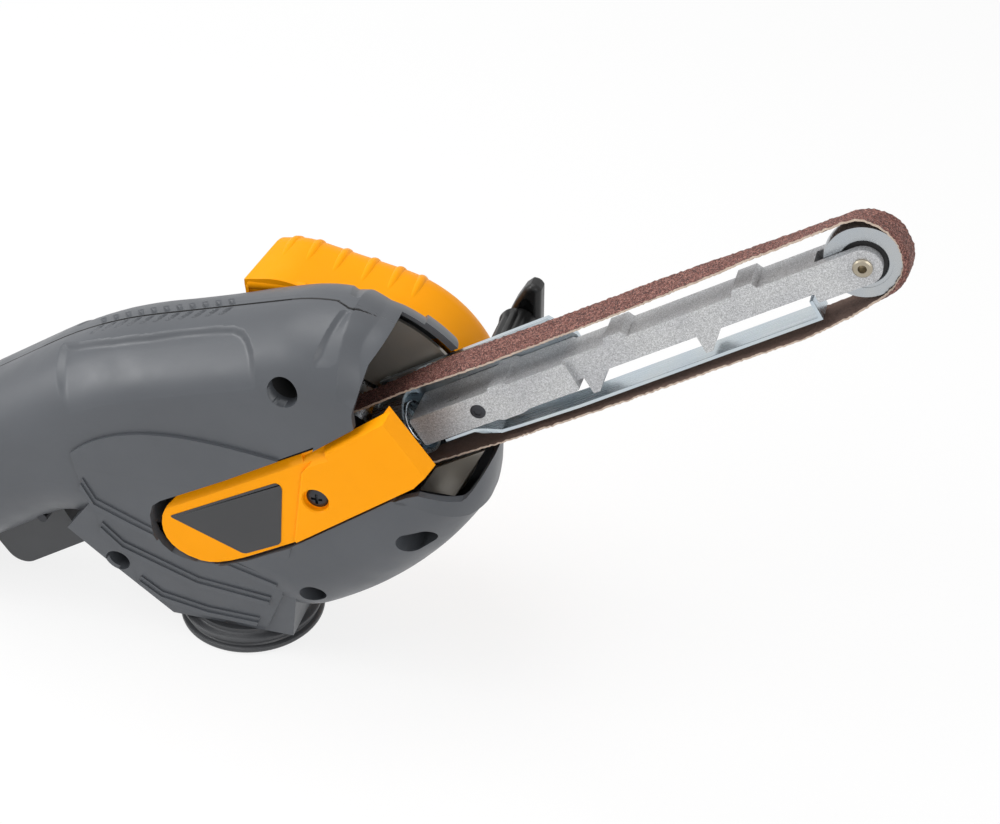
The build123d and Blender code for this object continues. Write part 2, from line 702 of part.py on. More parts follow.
def gear_case(hollow):
    """Cast bearing case on the inside of the left half."""
    seat = HALF_WIDTH - WALL
    body = cross_rod(DRIVE_X, DRIVE_Z, seat - CASE_FLANGE, seat, CASE_FLANGE_R) & hollow
    body += cross_rod(DRIVE_X, DRIVE_Z, CASE_BEARING_Y, CASE_TUBE_END, CASE_TUBE_R)
    near = BASE_HALF + SLIDE_CLEAR + PLATE_THICK
    for side in (-1, 1):
        x, z = world_xz(ARM, POST_A, side * POST_W)
        body += cross_rod(x, z, near, seat, POST_R)
        body -= cross_rod(x, z, near - 1, near + 8, CASE_SCREW_R)
    body -= cross_rod(DRIVE_X, DRIVE_Z, 0, CASE_TUBE_END - 2, SPINDLE_R + 3)
    for start in (CASE_BEARING_Y, CASE_BEARING_FAR_Y):
        body -= cross_rod(DRIVE_X, DRIVE_Z, start, start + BALL_BEARING_WIDTH, BALL_BEARING_R)
    for x, z in SCREW_SEATS:
        body -= cross_rod(x, z, 0, HALF_WIDTH, FAR_BOSS_R + SLIDE_CLEAR)
    for x, z in case_screw_places():
        body -= cross_rod(x, z, 0, HALF_WIDTH, CASE_SCREW_R)
    for x, z in HANDLE_SCREWS:
        body -= cross_rod(x, z, 0, HALF_WIDTH, SCREW_R)
    return body


def case_screw_places():
    """Places of the screws that hold the gear case to the left half."""
    places = []
    for turn in (80, 170, 280):
        lean = math.radians(turn)
        out, up = CASE_SCREW_RING * math.cos(lean), CASE_SCREW_RING * math.sin(lean)
        places.append((DRIVE_X + out, DRIVE_Z + up))
    return places


def case_screws():
    """Screws of the gear case."""
    flange = HALF_WIDTH - WALL - CASE_FLANGE
    screws = []
    for x, z in case_screw_places():
        screw = cross_rod(x, z, flange - CASE_SCREW_HEAD, flange, CASE_SCREW_HEAD_R)
        screws.append(screw + cross_rod(x, z, flange, HALF_WIDTH - 0.5, CASE_SCREW_R))
    return Compound(screws)


def holder_screws():
    """Screws that hold the arm holder to the gear case's posts."""
    near = BASE_HALF + SLIDE_CLEAR
    screws = []
    for side in (-1, 1):
        x, z = world_xz(ARM, POST_A, side * POST_W)
        screw = cross_rod(x, z, near - CASE_SCREW_HEAD, near, CASE_SCREW_HEAD_R)
        screws.append(screw + cross_rod(x, z, near, near + PLATE_THICK + 7, CASE_SCREW_R))
    return Compound(screws)


def head_shield():
    """Polished plate between the belt chamber and the gears."""
    body = cross_rod(HEAD_X, HEAD_Z, SHIELD_Y, SHIELD_Y + SHIELD_THICK, SHIELD_R)
    body -= cross_rod(DRIVE_X, DRIVE_Z, 0, HALF_WIDTH, SHIELD_BORE)
    body -= Pos(SHIELD_BACK_X - SHIELD_R, 0, HEAD_Z) * Box(2 * SHIELD_R, 2 * HALF_WIDTH, 4 * SHIELD_R)
    for x, z in SCREW_SEATS:
        body -= cross_rod(x, z, 0, HALF_WIDTH, FAR_BOSS_R)
    for side in (-1, 1):
        x, z = world_xz(ARM, POST_A, side * POST_W)
        body -= cross_rod(x, z, 0, HALF_WIDTH, POST_R)
    room = SlotCenterToCenter(TENSION_TRAVEL, 2 * (KNOB_BASE_R + KNOB_ROOM))
    return body - slab(Pos(KNOB_A - TENSION_TRAVEL / 2, 0) * room, 0, HALF_WIDTH, ARM)


def head_point(turn, radius=HEAD_R):
    """Point on the head's round outline."""
    lean = math.radians(turn)
    return HEAD_X + radius * math.cos(lean), HEAD_Z + radius * math.sin(lean)


def grip_length():
    """Length of the grip behind its middle that brings its rounded heel down to the rest surface."""
    lean = math.radians(GRIP_PITCH)
    lift = GRIP_CORNER_R * (1 - math.sin(lean)) + (GRIP_HALF - GRIP_CORNER_R) * math.cos(lean)
    return (GRIP_Z - lift) / math.sin(lean)


def chute_notch():
    """Corner where the chute's sloping back meets the grip's underside."""
    lean = math.radians(GRIP_PITCH)
    low_x, low_z = world_xz(GRIP, 0, -GRIP_HALF)
    start = CHUTE_BACK_X + PORT_HEIGHT
    x = (start - low_z + low_x * math.tan(lean)) / (1 + math.tan(lean))
    return x, start - x


def body_outline():
    """Side outline of head and grip."""
    length = grip_length()
    rear_top = world_xz(GRIP, -length, GRIP_HALF)
    rear_low = world_xz(GRIP, -length, -GRIP_HALF)
    crown = head_point(90 + CROWN_TILT)
    chin = head_point(-CHIN_TILT)
    tilt = math.radians(CROWN_TILT)
    lean = math.radians(GRIP_PITCH)
    rise = (crown[1] - rear_top[1]) * math.cos(lean) - (crown[0] - rear_top[0]) * math.sin(lean)
    reach = rise / math.sin(tilt - lean)
    meet = (crown[0] - reach * math.cos(tilt), crown[1] - reach * math.sin(tilt))
    start = (meet[0] - SPINE_BEND * math.cos(lean), meet[1] - SPINE_BEND * math.sin(lean))
    end = (meet[0] + SPINE_BEND * math.cos(tilt), meet[1] + SPINE_BEND * math.sin(tilt))
    outline = make_face([
        Line(rear_low, rear_top),
        Line(rear_top, start),
        TangentArc(start, end, tangent=(math.cos(lean), math.sin(lean))),
        Line(end, crown),
        ThreePointArc(crown, head_point(45), chin),
        ThreePointArc(chin, CHIN_MID, CHIN_LOW),
        Line(CHIN_LOW, chute_notch()),
        Line(chute_notch(), rear_low),
    ])
    corners = outline.vertices()
    rounded = [rear_low, rear_top, chin, CHIN_LOW, chute_notch()]
    picked = [min(corners, key=lambda v: math.hypot(v.X - x, v.Y - z)) for x, z in rounded]
    return fillet(picked, GRIP_CORNER_R)


def chute_outline():
    """Side outline of the dust chute under the head."""
    return polygon(
        chute_notch(),
        (CHUTE_BACK_X, PORT_HEIGHT),
        (CHUTE_FRONT_X, PORT_HEIGHT),
        (CHUTE_FRONT_X + CHUTE_FLARE, CHUTE_TOP),
        (chute_notch()[0] + 20, CHUTE_TOP),
    )


def rounded_slab(outline, half, radius):
    """Plate of an outline with both long edges rounded."""
    body = slab(outline, -half, half)
    edges = body.edges().filter_by(lambda e: abs(abs(e.center().Y) - half) < 1e-4)
    return fillet(edges, radius)


def chute_sides(growth):
    """Space between the chute's sides, which lean in towards the port, moved outwards."""
    right = [(-half - growth, z) for half, z in CHUTE_SIDE]
    left = [(half + growth, z) for half, z in reversed(CHUTE_SIDE)]
    top = CHUTE_SIDE[0][0] + growth
    section = Plane.YZ * polygon(*right, *left, (top, 2 * CHUTE_SIDE[0][1]), (-top, 2 * CHUTE_SIDE[0][1]))
    return extrude(section, 4 * HALF_WIDTH, both=True)


def gills():
    """Raised panels with stepped ribs on both sides of the chute."""
    arc = Spline(*GILL_ARC)
    rest = Polyline(GILL_ARC[-1], *GILL_END, *GILL_BACK, GILL_ARC[0])
    body = slab(make_face([arc, rest]), -2 * HALF_WIDTH, 2 * HALF_WIDTH) & chute_sides(GILL_RISE)
    for line in RIB_LINES:
        for step, (dx, dz) in enumerate(RIB_STEPS):
            upper = [(x + dx, z + dz) for x, z in reversed(line)]
            strip = slab(polygon(*line, *upper), -2 * HALF_WIDTH, 2 * HALF_WIDTH)
            body += strip & chute_sides(GILL_RISE + RIB_RISE * (step + 1))
    return body


def housing_form():
    """Outside form of the closed housing."""
    chute = slab(chute_outline(), -HALF_WIDTH - 1, HALF_WIDTH + 1) & chute_sides(0)
    return rounded_slab(body_outline(), HALF_WIDTH, EDGE_R) + chute + gills()


def housing_hollow():
    """Inside form of the closed housing."""
    inner = rounded_slab(offset(body_outline(), -WALL), HALF_WIDTH - WALL, EDGE_R - WALL)
    chute = slab(offset(chute_outline(), -WALL), -HALF_WIDTH, HALF_WIDTH) & chute_sides(-WALL)
    sides = slab(Pos(0, -HALF_WIDTH) * Rectangle(500, 250), -HALF_WIDTH + WALL, HALF_WIDTH - WALL)
    return inner + (chute & sides)


def mouth_outline():
    """Opening at the head's front, where arm and belt come out."""
    return polygon(
        (57.0, 127.8),
        (61.0, 144.5),
        (72.0, HEAD_Z + HEAD_R + 4),
        (HEAD_X + HEAD_R + 20, HEAD_Z + HEAD_R + 4),
        (HEAD_X + HEAD_R + 20, 84.0),
        (97.0, 84.0),
        (80.0, 92.0),
        (60.0, 92.0),
    )


def cover_outline():
    """Side outline of the belt cover."""
    return polygon(
        (70.2, 132.5),
        (86.8, 109.8),
        (79.7, 100.5),
        (31.4, 63.4),
        (10.2, 52.7),
        (-1.5, 46.0),
        (-9.0, 47.0),
        (-21.5, 58.5),
        (-21.0, 62.8),
        (23.6, 89.5),
        (34.2, 96.9),
        (42.9, 108.3),
        (67.8, 128.5),
    )


def bulkheads(hollow):
    """Webs across the housing that hold bearings and stator."""
    seats = (
        (FRONT_BEARING_M + BALL_BEARING_WIDTH / 2, BALL_BEARING_R),
        (STATOR_M + BULKHEAD, STATOR_R),
        (STATOR_M + STATOR_LENGTH - BULKHEAD, STATOR_R),
        (REAR_BEARING_M + REAR_BEARING_WIDTH / 2, REAR_BEARING_R),
    )
    webs = []
    for middle, seat in seats:
        web = rod(MOTOR, middle - BULKHEAD / 2, middle + BULKHEAD / 2, BULKHEAD_R, seat)
        webs.append(web & hollow)
    return webs


def housing_shell():
    """Whole housing before it is parted, with bulkheads and the holes both halves share."""
    form = housing_form()
    hollow = housing_hollow()
    shell = form - hollow
    for web in bulkheads(hollow):
        shell += web
    shell -= Pos(0, 0, 0) * Cylinder(PORT_SPIGOT_R, 4 * PORT_HEIGHT)
    slot_half = TRIGGER_HALF + TRIGGER_SLOT_GAP
    slot_back = TRIGGER_BACK - 2 * TRIGGER_SLOT_GAP
    slot_front = TRIGGER_FRONT + 2 * TRIGGER_SLOT_GAP
    slot_top = TRIGGER_LIFT - TRIGGER_INNER
    shell -= block(GRIP, slot_back, slot_front, -2 * GRIP_HALF, slot_top, -slot_half, slot_half)
    wheel_gap = WHEEL_R + WHEEL_GAP
    wheel_half = WHEEL_WIDTH / 2 + WHEEL_GAP
    shell -= slab(Pos(WHEEL_S, WHEEL_T) * Circle(wheel_gap), -wheel_half, wheel_half, GRIP)
    gland_plane = Plane(origin=GRIP.from_local_coords((0, 0, 0)), x_dir=(0, 1, 0), z_dir=GRIP.x_dir * -1)
    shell -= rod(gland_plane, grip_length() - 4 * WALL, grip_length() + WALL, GLAND_R)
    return shell, form, hollow


def pivot_bosses(half_solid, form, side):
    """Bosses of one half that carry the trigger's pin and the speed wheel's axle."""
    wall = HALF_WIDTH
    carried = (
        (TRIGGER_PIVOT_S, TRIGGER_PIVOT_T, TRIGGER_HALF + TRIGGER_SLOT_GAP, TRIGGER_PIN_R),
        (WHEEL_S, WHEEL_T, WHEEL_WIDTH / 2 + WHEEL_GAP, WHEEL_AXLE_R + RUN_CLEAR),
    )
    for s, t, start, hole in carried:
        x, z = world_xz(GRIP, s, t)
        ends = sorted((side * start, side * wall))
        boss = cross_rod(x, z, ends[0], ends[1], PIVOT_BOSS_R) & form
        half_solid += boss
        reach = sorted((side * (start - 1), side * (start + 8)))
        half_solid -= cross_rod(x, z, reach[0], reach[1], hole)
    return half_solid


def housing_right(shell, form):
    """Right half: screw seats, belt mouth and the belt cover's slot."""
    half = split(shell, Plane.XZ, keep=Keep.TOP)
    half -= slab(mouth_outline(), -2 * HALF_WIDTH, 0)
    half -= slab(offset(cover_outline(), COVER_GAP), -2 * HALF_WIDTH, -COVER_BACK_Y + 2)
    bar = block(ARM, -COVER_BAR_HALF, COVER_BAR_HALF, -26, 26, -COVER_BACK_Y, -COVER_BAR_Y)
    bar += cross_rod(COVER_SCREW_X, COVER_SCREW_Z, -COVER_BACK_Y, -COVER_BAR_Y, COVER_BAR_HALF + 1)
    half += bar
    half -= cross_rod(COVER_SCREW_X, COVER_SCREW_Z, -HALF_WIDTH, -COVER_BAR_Y + 1, SCREW_R + HOLE_CLEAR)
    for x, z in SCREW_SEATS:
        half += cross_rod(x, z, -HALF_WIDTH, 0, BOSS_R) & form
    half += cross_rod(*CHUTE_SEAT, -CHUTE_BOSS_Y, 0, BOSS_R)
    for x, z in SCREW_SEATS:
        half -= cross_rod(x, z, -2 * HALF_WIDTH, -SEAT_FLOOR_Y, SEAT_BORE_R)
        half -= cross_rod(x, z, -SEAT_FLOOR_Y, 0, SCREW_R + HOLE_CLEAR)
    return pivot_bosses(half, form, -1)


def housing_left(shell, form):
    """Left half: far bosses, gear case opening and the lock button's hole."""
    half = split(shell, Plane.XZ, keep=Keep.BOTTOM)
    half -= slab(mouth_outline(), 0, MOUTH_FAR_Y)
    half -= block(ARM, SLEEVE_END, AXIS_DISTANCE, -POST_W, PLATE_TOP + 2, 0, HALF_WIDTH + 1)
    half -= cross_rod(DRIVE_X, DRIVE_Z, 0, 2 * HALF_WIDTH, CASE_TUBE_R + SLIDE_CLEAR)
    for x, z in SCREW_SEATS:
        half += cross_rod(x, z, 0, HALF_WIDTH, FAR_BOSS_R) & form
    half += cross_rod(*CHUTE_SEAT, 0, CHUTE_BOSS_Y, BOSS_R)
    for x, z in SCREW_SEATS:
        half -= cross_rod(x, z, 0, SCREW_REACH + 1, SCREW_R + HOLE_CLEAR)
    for x, z in case_screw_places():
        half -= cross_rod(x, z, 0, HALF_WIDTH - 0.5, CASE_SCREW_R)
    x, z = world_xz(GRIP, BUTTON_S, BUTTON_T)
    half -= cross_rod(x, z, 0, 2 * HALF_WIDTH, BUTTON_R + RUN_CLEAR)
    for x, z in HANDLE_SCREWS:
        half -= cross_rod(x, z, 0, 2 * HALF_WIDTH, SCREW_R + HOLE_CLEAR)
    return pivot_bosses(half, form, 1)


def housing_screws():
    """Screws that pull the two halves together."""
    screws = []
    for x, z in SCREW_SEATS:
        head = cross_rod(x, z, -SEAT_FLOOR_Y - SCREW_HEAD, -SEAT_FLOOR_Y, SCREW_HEAD_R)
        cross = Box(SCREW_HEAD_R * 1.2, 2, 0.9) + Box(0.9, 2, SCREW_HEAD_R * 1.2)
        head -= Pos(x, -SEAT_FLOOR_Y - SCREW_HEAD, z) * cross
        screws.append(head + cross_rod(x, z, -SEAT_FLOOR_Y, SCREW_REACH, SCREW_R))
    return Compound(screws)


def belt_cover():
    """Cover over the pulley; its rear part is lower, for the label."""
    plate = slab(cover_outline(), -COVER_LABEL_Y, -COVER_BACK_Y)
    rear = polygon((-60, 0), (31.9, 0), (31.9, 65.8), (35.8, 98.0), (35.8, 200), (-60, 200))
    front = cover_outline() - rear
    plate += slab(front, -COVER_FACE_Y, -COVER_BACK_Y)
    seat_y = COVER_BACK_Y + 1
    plate -= cross_rod(COVER_SCREW_X, COVER_SCREW_Z, -2 * COVER_FACE_Y, -seat_y, COVER_SEAT_R)
    return plate - cross_rod(COVER_SCREW_X, COVER_SCREW_Z, -COVER_FACE_Y, 0, SCREW_R + HOLE_CLEAR)


def belt_cover_screw():
    """Recessed cross-head screw of the belt cover."""
    seat_y = COVER_BACK_Y + 1
    head = cross_rod(COVER_SCREW_X, COVER_SCREW_Z, -seat_y - 1.8, -seat_y, SCREW_HEAD_R)
    cross = Box(SCREW_HEAD_R * 1.2, 2, 0.9) + Box(0.9, 2, SCREW_HEAD_R * 1.2)
    head -= Pos(COVER_SCREW_X, -seat_y - 1.8, COVER_SCREW_Z) * cross
    return head + cross_rod(COVER_SCREW_X, COVER_SCREW_Z, -seat_y, -COVER_BAR_Y, SCREW_R)


def label_plate():
    """Plain dark label on the cover's lower part."""
    panel = polygon((-17.5, 63.0), (26.2, 88.2), (25.6, 65.2), (24.0, 61.0), (10.4, 54.2))
    return slab(panel, -COVER_LABEL_Y - LABEL_THICK, -COVER_LABEL_Y)


def side_handle_outline():
    """Side outline of the handle: a round front and a straight top."""
    tilt = math.radians(HANDLE_TILT)
    lean = math.radians(-60)
    mid = math.radians(15)
    low = (DRIVE_X + HANDLE_R * math.cos(lean), DRIVE_Z + HANDLE_R * math.sin(lean))
    front = (DRIVE_X + HANDLE_R * math.cos(mid), DRIVE_Z + HANDLE_R * math.sin(mid))
    turn = (DRIVE_X + HANDLE_R * math.cos(tilt), DRIVE_Z + HANDLE_R * math.sin(tilt))
    top = (HANDLE_TOP_X, DRIVE_Z + HANDLE_R + HANDLE_TOP_RISE)
    back = (HANDLE_BACK_X, top[1] - HANDLE_BACK_DROP)
    outline = make_face([
        ThreePointArc(low, front, turn),
        Polyline(turn, top, back, (HANDLE_BACK_X, HANDLE_BACK_LOW), low),
    ])
    crest = min(outline.vertices(), key=lambda v: math.hypot(v.X - top[0], v.Y - top[1]))
    return fillet(crest, HANDLE_CREST_R)


def side_handle(form):
    """Ribbed hollow handle on the left of the head."""
    outline = side_handle_outline()
    body = slab(outline, HANDLE_START_Y, HANDLE_END_Y)
    rim = body.edges().filter_by(lambda e: abs(e.center().Y - HANDLE_END_Y) < 1e-4)
    body = fillet(rim, HANDLE_EDGE_R)
    inner = slab(offset(outline, -HANDLE_WALL), 0, HANDLE_END_Y - HANDLE_WALL)
    rim = inner.edges().filter_by(lambda e: abs(e.center().Y - HANDLE_END_Y + HANDLE_WALL) < 1e-4)
    inner = fillet(rim, HANDLE_EDGE_R - HANDLE_WALL)
    body -= inner
    for x, z in HANDLE_SCREWS:
        body += cross_rod(x, z, HALF_WIDTH, HANDLE_END_Y - 1, HANDLE_POST_R)
    body -= form
    for x, z in HANDLE_SCREWS:
        body -= cross_rod(x, z, 0, HANDLE_END_Y - 10, SCREW_R + HOLE_CLEAR)
        body -= cross_rod(x, z, HANDLE_END_Y - 10, 2 * HANDLE_END_Y, SCREW_HEAD_R + 0.3)
    return body


def side_handle_screws():
    """Screws that hold the side handle to the left half."""
    seat = HANDLE_END_Y - 10
    screws = []
    for x, z in HANDLE_SCREWS:
        screw = cross_rod(x, z, seat, seat + SCREW_HEAD, SCREW_HEAD_R)
        screws.append(screw + cross_rod(x, z, HALF_WIDTH - WALL - CASE_FLANGE, seat, SCREW_R))
    return Compound(screws)


def dust_port():
    """Round outlet under the chute, for a hose or bag."""
    body = rod(Plane.XY, 0, PORT_RIM, PORT_RIM_R)
    body += rod(Plane.XY, 0, PORT_HEIGHT, PORT_NECK_R)
    body += rod(Plane.XY, 0, PORT_HEIGHT + PORT_SPIGOT, PORT_SPIGOT_R)
    return body - rod(Plane.XY, -1, PORT_HEIGHT + PORT_SPIGOT + 1, PORT_BORE_R)


def trigger():
    """Finger trigger that hangs below the grip."""
    outline = polygon(
        (TRIGGER_FRONT, -TRIGGER_INNER),
        (TRIGGER_BACK, -TRIGGER_INNER),
        (TRIGGER_BACK, -TRIGGER_DEPTH),
        (TRIGGER_FRONT - 2, -TRIGGER_DEPTH),
    )
    low = [v for v in outline.vertices() if v.Y < -TRIGGER_DEPTH + 1]
    outline = fillet(sorted(low, key=lambda v: v.X)[:1], TRIGGER_CORNER_R)
    body = slab(outline, -TRIGGER_HALF, TRIGGER_HALF, GRIP)
    x, z = world_xz(GRIP, TRIGGER_PIVOT_S, TRIGGER_PIVOT_T)
    return body - cross_rod(x, z, -HALF_WIDTH, HALF_WIDTH, TRIGGER_PIN_R + RUN_CLEAR)


def trigger_pin():
    """Pin the trigger turns on, held in both halves."""
    reach = TRIGGER_HALF + TRIGGER_SLOT_GAP + 8
    x, z = world_xz(GRIP, TRIGGER_PIVOT_S, TRIGGER_PIVOT_T)
    return cross_rod(x, z, -reach, reach, TRIGGER_PIN_R)


def switch_body(hollow):
    """Switch above the trigger, with its plunger and a rail to each wall."""
    s0 = SWITCH_S - SWITCH_LENGTH / 2
    s1 = SWITCH_S + SWITCH_LENGTH / 2
    body = block(GRIP, s0, s1, -SWITCH_LOW, -SWITCH_LOW + SWITCH_HEIGHT, -SWITCH_HALF, SWITCH_HALF)
    inside = HALF_WIDTH - WALL
    body += block(GRIP, s0, s0 + RAIL_THICK, -RAIL_LOW, -RAIL_TOP, -inside, inside) & hollow
    tip = -SWITCH_LOW - PLUNGER_DROP
    back, fore = SWITCH_S - PLUNGER_R, SWITCH_S + PLUNGER_R
    return body + block(GRIP, back, fore, tip, -SWITCH_LOW, -PLUNGER_R, PLUNGER_R)


def speed_module(hollow):
    """Speed control behind the switch, with a rail to each wall."""
    s0 = MODULE_S - MODULE_LENGTH / 2
    s1 = MODULE_S + MODULE_LENGTH / 2
    body = block(GRIP, s0, s1, -MODULE_LOW, -MODULE_LOW + MODULE_HEIGHT, -MODULE_HALF, MODULE_HALF)
    inside = HALF_WIDTH - WALL
    return body + (block(GRIP, s0, s0 + RAIL_THICK, -RAIL_LOW, -RAIL_TOP, -inside, inside) & hollow)


def lock_button():
    """Push button on the left of the grip that holds the trigger in."""
    x, z = world_xz(GRIP, BUTTON_S, BUTTON_T)
    inside = HALF_WIDTH - WALL
    body = cross_rod(x, z, inside - BUTTON_STEM, HALF_WIDTH + BUTTON_PROUD, BUTTON_R)
    collar = cross_rod(x, z, inside - 0.3 - 2, inside - 0.3, BUTTON_COLLAR_R)
    tip = body.edges().filter_by(GeomType.CIRCLE).sort_by(Axis.Y)[-1]
    return fillet(tip, 1.0) + collar


def speed_wheel():
    """Thumb wheel for the belt speed, with its axle."""
    x, z = world_xz(GRIP, WHEEL_S, WHEEL_T)
    body = cross_rod(x, z, -WHEEL_WIDTH / 2, WHEEL_WIDTH / 2, WHEEL_R)
    for tooth in range(24):
        lean = math.radians(15 * tooth)
        body -= cross_rod(x + WHEEL_R * math.cos(lean), z + WHEEL_R * math.sin(lean), -10, 10, 0.6)
    reach = WHEEL_WIDTH / 2 + WHEEL_GAP + 7
    return body + cross_rod(x, z, -reach, reach, WHEEL_AXLE_R)


def cord_gland(hollow):
    """Cable inlet in the grip's heel."""
    plane = Plane(origin=GRIP.from_local_coords((0, 0, 0)), x_dir=(0, 1, 0), z_dir=GRIP.x_dir * -1)
    end = grip_length()
    body = rod(plane, end - WALL - 2, end + GLAND_PROUD, GLAND_R)
    body += rod(plane, end - WALL - 2 - GLAND_COLLAR, end - WALL, GLAND_COLLAR_R) & hollow
    return body - rod(plane, end - 40, end + 40, GLAND_BORE_R)


def nodes():
    """Every piece of the tool under its name."""
    shell, form, hollow = housing_shell()
    return {
        "housing_right": housing_right(shell, form),
        "housing_left": housing_left(shell, form),
        "housing_screws": housing_screws(),
        "belt_cover": belt_cover(),
        "belt_cover_screw": belt_cover_screw(),
        "label_plate": label_plate(),
        "side_handle": side_handle(form),
        "side_handle_screws": side_handle_screws(),
        "dust_port": dust_port(),
        "gear_case": gear_case(hollow),
        "gear_case_screws": case_screws(),
        "head_shield": head_shield(),
        "spindle_bearing_inner": spindle_bearing(CASE_BEARING_Y),
        "spindle_bearing_outer": spindle_bearing(CASE_BEARING_FAR_Y),
        "arm_holder": arm_holder(),
        "arm_holder_screws": holder_screws(),
        "tension_spring": tension_spring(),
        "sanding_belt": sanding_belt(),
        "arm": arm(),
        "platen": platen(),
        "platen_rivet": platen_rivet(),
        "nose_axle": nose_axle(),
        "nose_roller": nose_roller(),
        "roller_bearing": roller_bearing(),
        "wing_knob": wing_knob(),
        "clamp_screw": clamp_screw(),
        "spindle": spindle(),
        "drive_pulley": drive_pulley(),
        "pulley_cap": pulley_cap(),
        "bevel_gear": bevel_gear(),
        "bevel_pinion": bevel_pinion(),
        "motor_shaft": motor_shaft(),
        "armature_core": armature_core(),
        "armature_windings": armature_windings(),
        "commutator": commutator(),
        "cooling_fan": cooling_fan(),
        "motor_stator": motor_stator(),
        "field_windings": field_windings(),
        "brush_holder_right": brush_holder(-1),
        "brush_holder_left": brush_holder(1),
        "carbon_brush_right": carbon_brush(-1),
        "carbon_brush_left": carbon_brush(1),
        "motor_bearing_front": shaft_bearing(FRONT_BEARING_M, BALL_BEARING_R, BALL_BEARING_WIDTH),
        "motor_bearing_rear": shaft_bearing(REAR_BEARING_M, REAR_BEARING_R, REAR_BEARING_WIDTH),
        "trigger": trigger(),
        "trigger_pin": trigger_pin(),
        "switch_body": switch_body(hollow),
        "speed_module": speed_module(hollow),
        "lock_button": lock_button(),
        "speed_wheel": speed_wheel(),
        "cord_gland": cord_gland(hollow),
    }


os.makedirs("parts", exist_ok=True)
for name, solid in nodes().items():
    export_step(solid, os.path.join("parts", name + ".step"))
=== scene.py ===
"""Looks of a hand-held belt file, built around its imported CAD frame."""

import json
import logging
import math
import random
from contextlib import contextmanager
from dataclasses import dataclass
from enum import Enum
from typing import Callable, Iterator, Protocol, Sequence

import bpy
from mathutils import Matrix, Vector
from mathutils.bvhtree import BVHTree
from mathutils.interpolate import poly_3d_calc


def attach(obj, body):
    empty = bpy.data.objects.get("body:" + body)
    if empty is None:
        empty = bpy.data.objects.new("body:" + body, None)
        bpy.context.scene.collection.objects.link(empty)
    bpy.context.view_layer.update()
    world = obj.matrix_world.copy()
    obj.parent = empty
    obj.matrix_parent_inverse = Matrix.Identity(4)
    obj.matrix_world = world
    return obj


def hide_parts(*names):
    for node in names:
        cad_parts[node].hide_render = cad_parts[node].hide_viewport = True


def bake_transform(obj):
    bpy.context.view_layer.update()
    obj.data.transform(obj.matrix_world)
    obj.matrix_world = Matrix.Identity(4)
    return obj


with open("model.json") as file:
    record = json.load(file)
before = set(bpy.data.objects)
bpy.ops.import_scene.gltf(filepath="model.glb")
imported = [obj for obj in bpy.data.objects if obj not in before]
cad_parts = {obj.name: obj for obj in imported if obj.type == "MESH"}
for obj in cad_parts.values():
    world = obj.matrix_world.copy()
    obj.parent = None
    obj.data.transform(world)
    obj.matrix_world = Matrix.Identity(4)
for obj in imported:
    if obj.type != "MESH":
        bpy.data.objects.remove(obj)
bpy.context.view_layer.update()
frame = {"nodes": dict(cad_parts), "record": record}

logging.basicConfig(level=logging.INFO, format="%(message)s")
LOG = logging.getLogger("belt_file")

MM = 0.001
Point = tuple[float, float]
Spot = tuple[float, float, float]
Colour = tuple[float, float, float]
Points = Sequence[Point]
Piece = bpy.types.Object
Socket = bpy.types.NodeSocket

# Places of the CAD model in side view, in millimetres, and leans in degrees.
ARM_AT: Point = (40.0, 87.0)
ARM_PITCH = 32.33
GRIP_AT: Point = (-76.0, 77.5)
GRIP_PITCH = 33.0
HEAD_AT: Point = (43.0, 95.5)
# Nose screw and clamping screw, along the arm.
NOSE_A = 220.0
KNOB_A = 68.4
# Skin of the housing: half width of its flat crest and radius of its rounded edge.
CREST = 3.0
EDGE_R = 26.0
# Distance from the middle at which nothing of the tool is left, for cutters to start from.
OUTSIDE = 40.0

EdgeTest = Callable[[Vector, Vector], bool]


class Body(Enum):
    """CAD bodies that pieces ride on."""

    HOUSING = "housing"
    ARM = "arm"
    ROLLER = "roller"
    KNOB = "knob"
    TRIGGER = "trigger"
    LOCK = "lock"


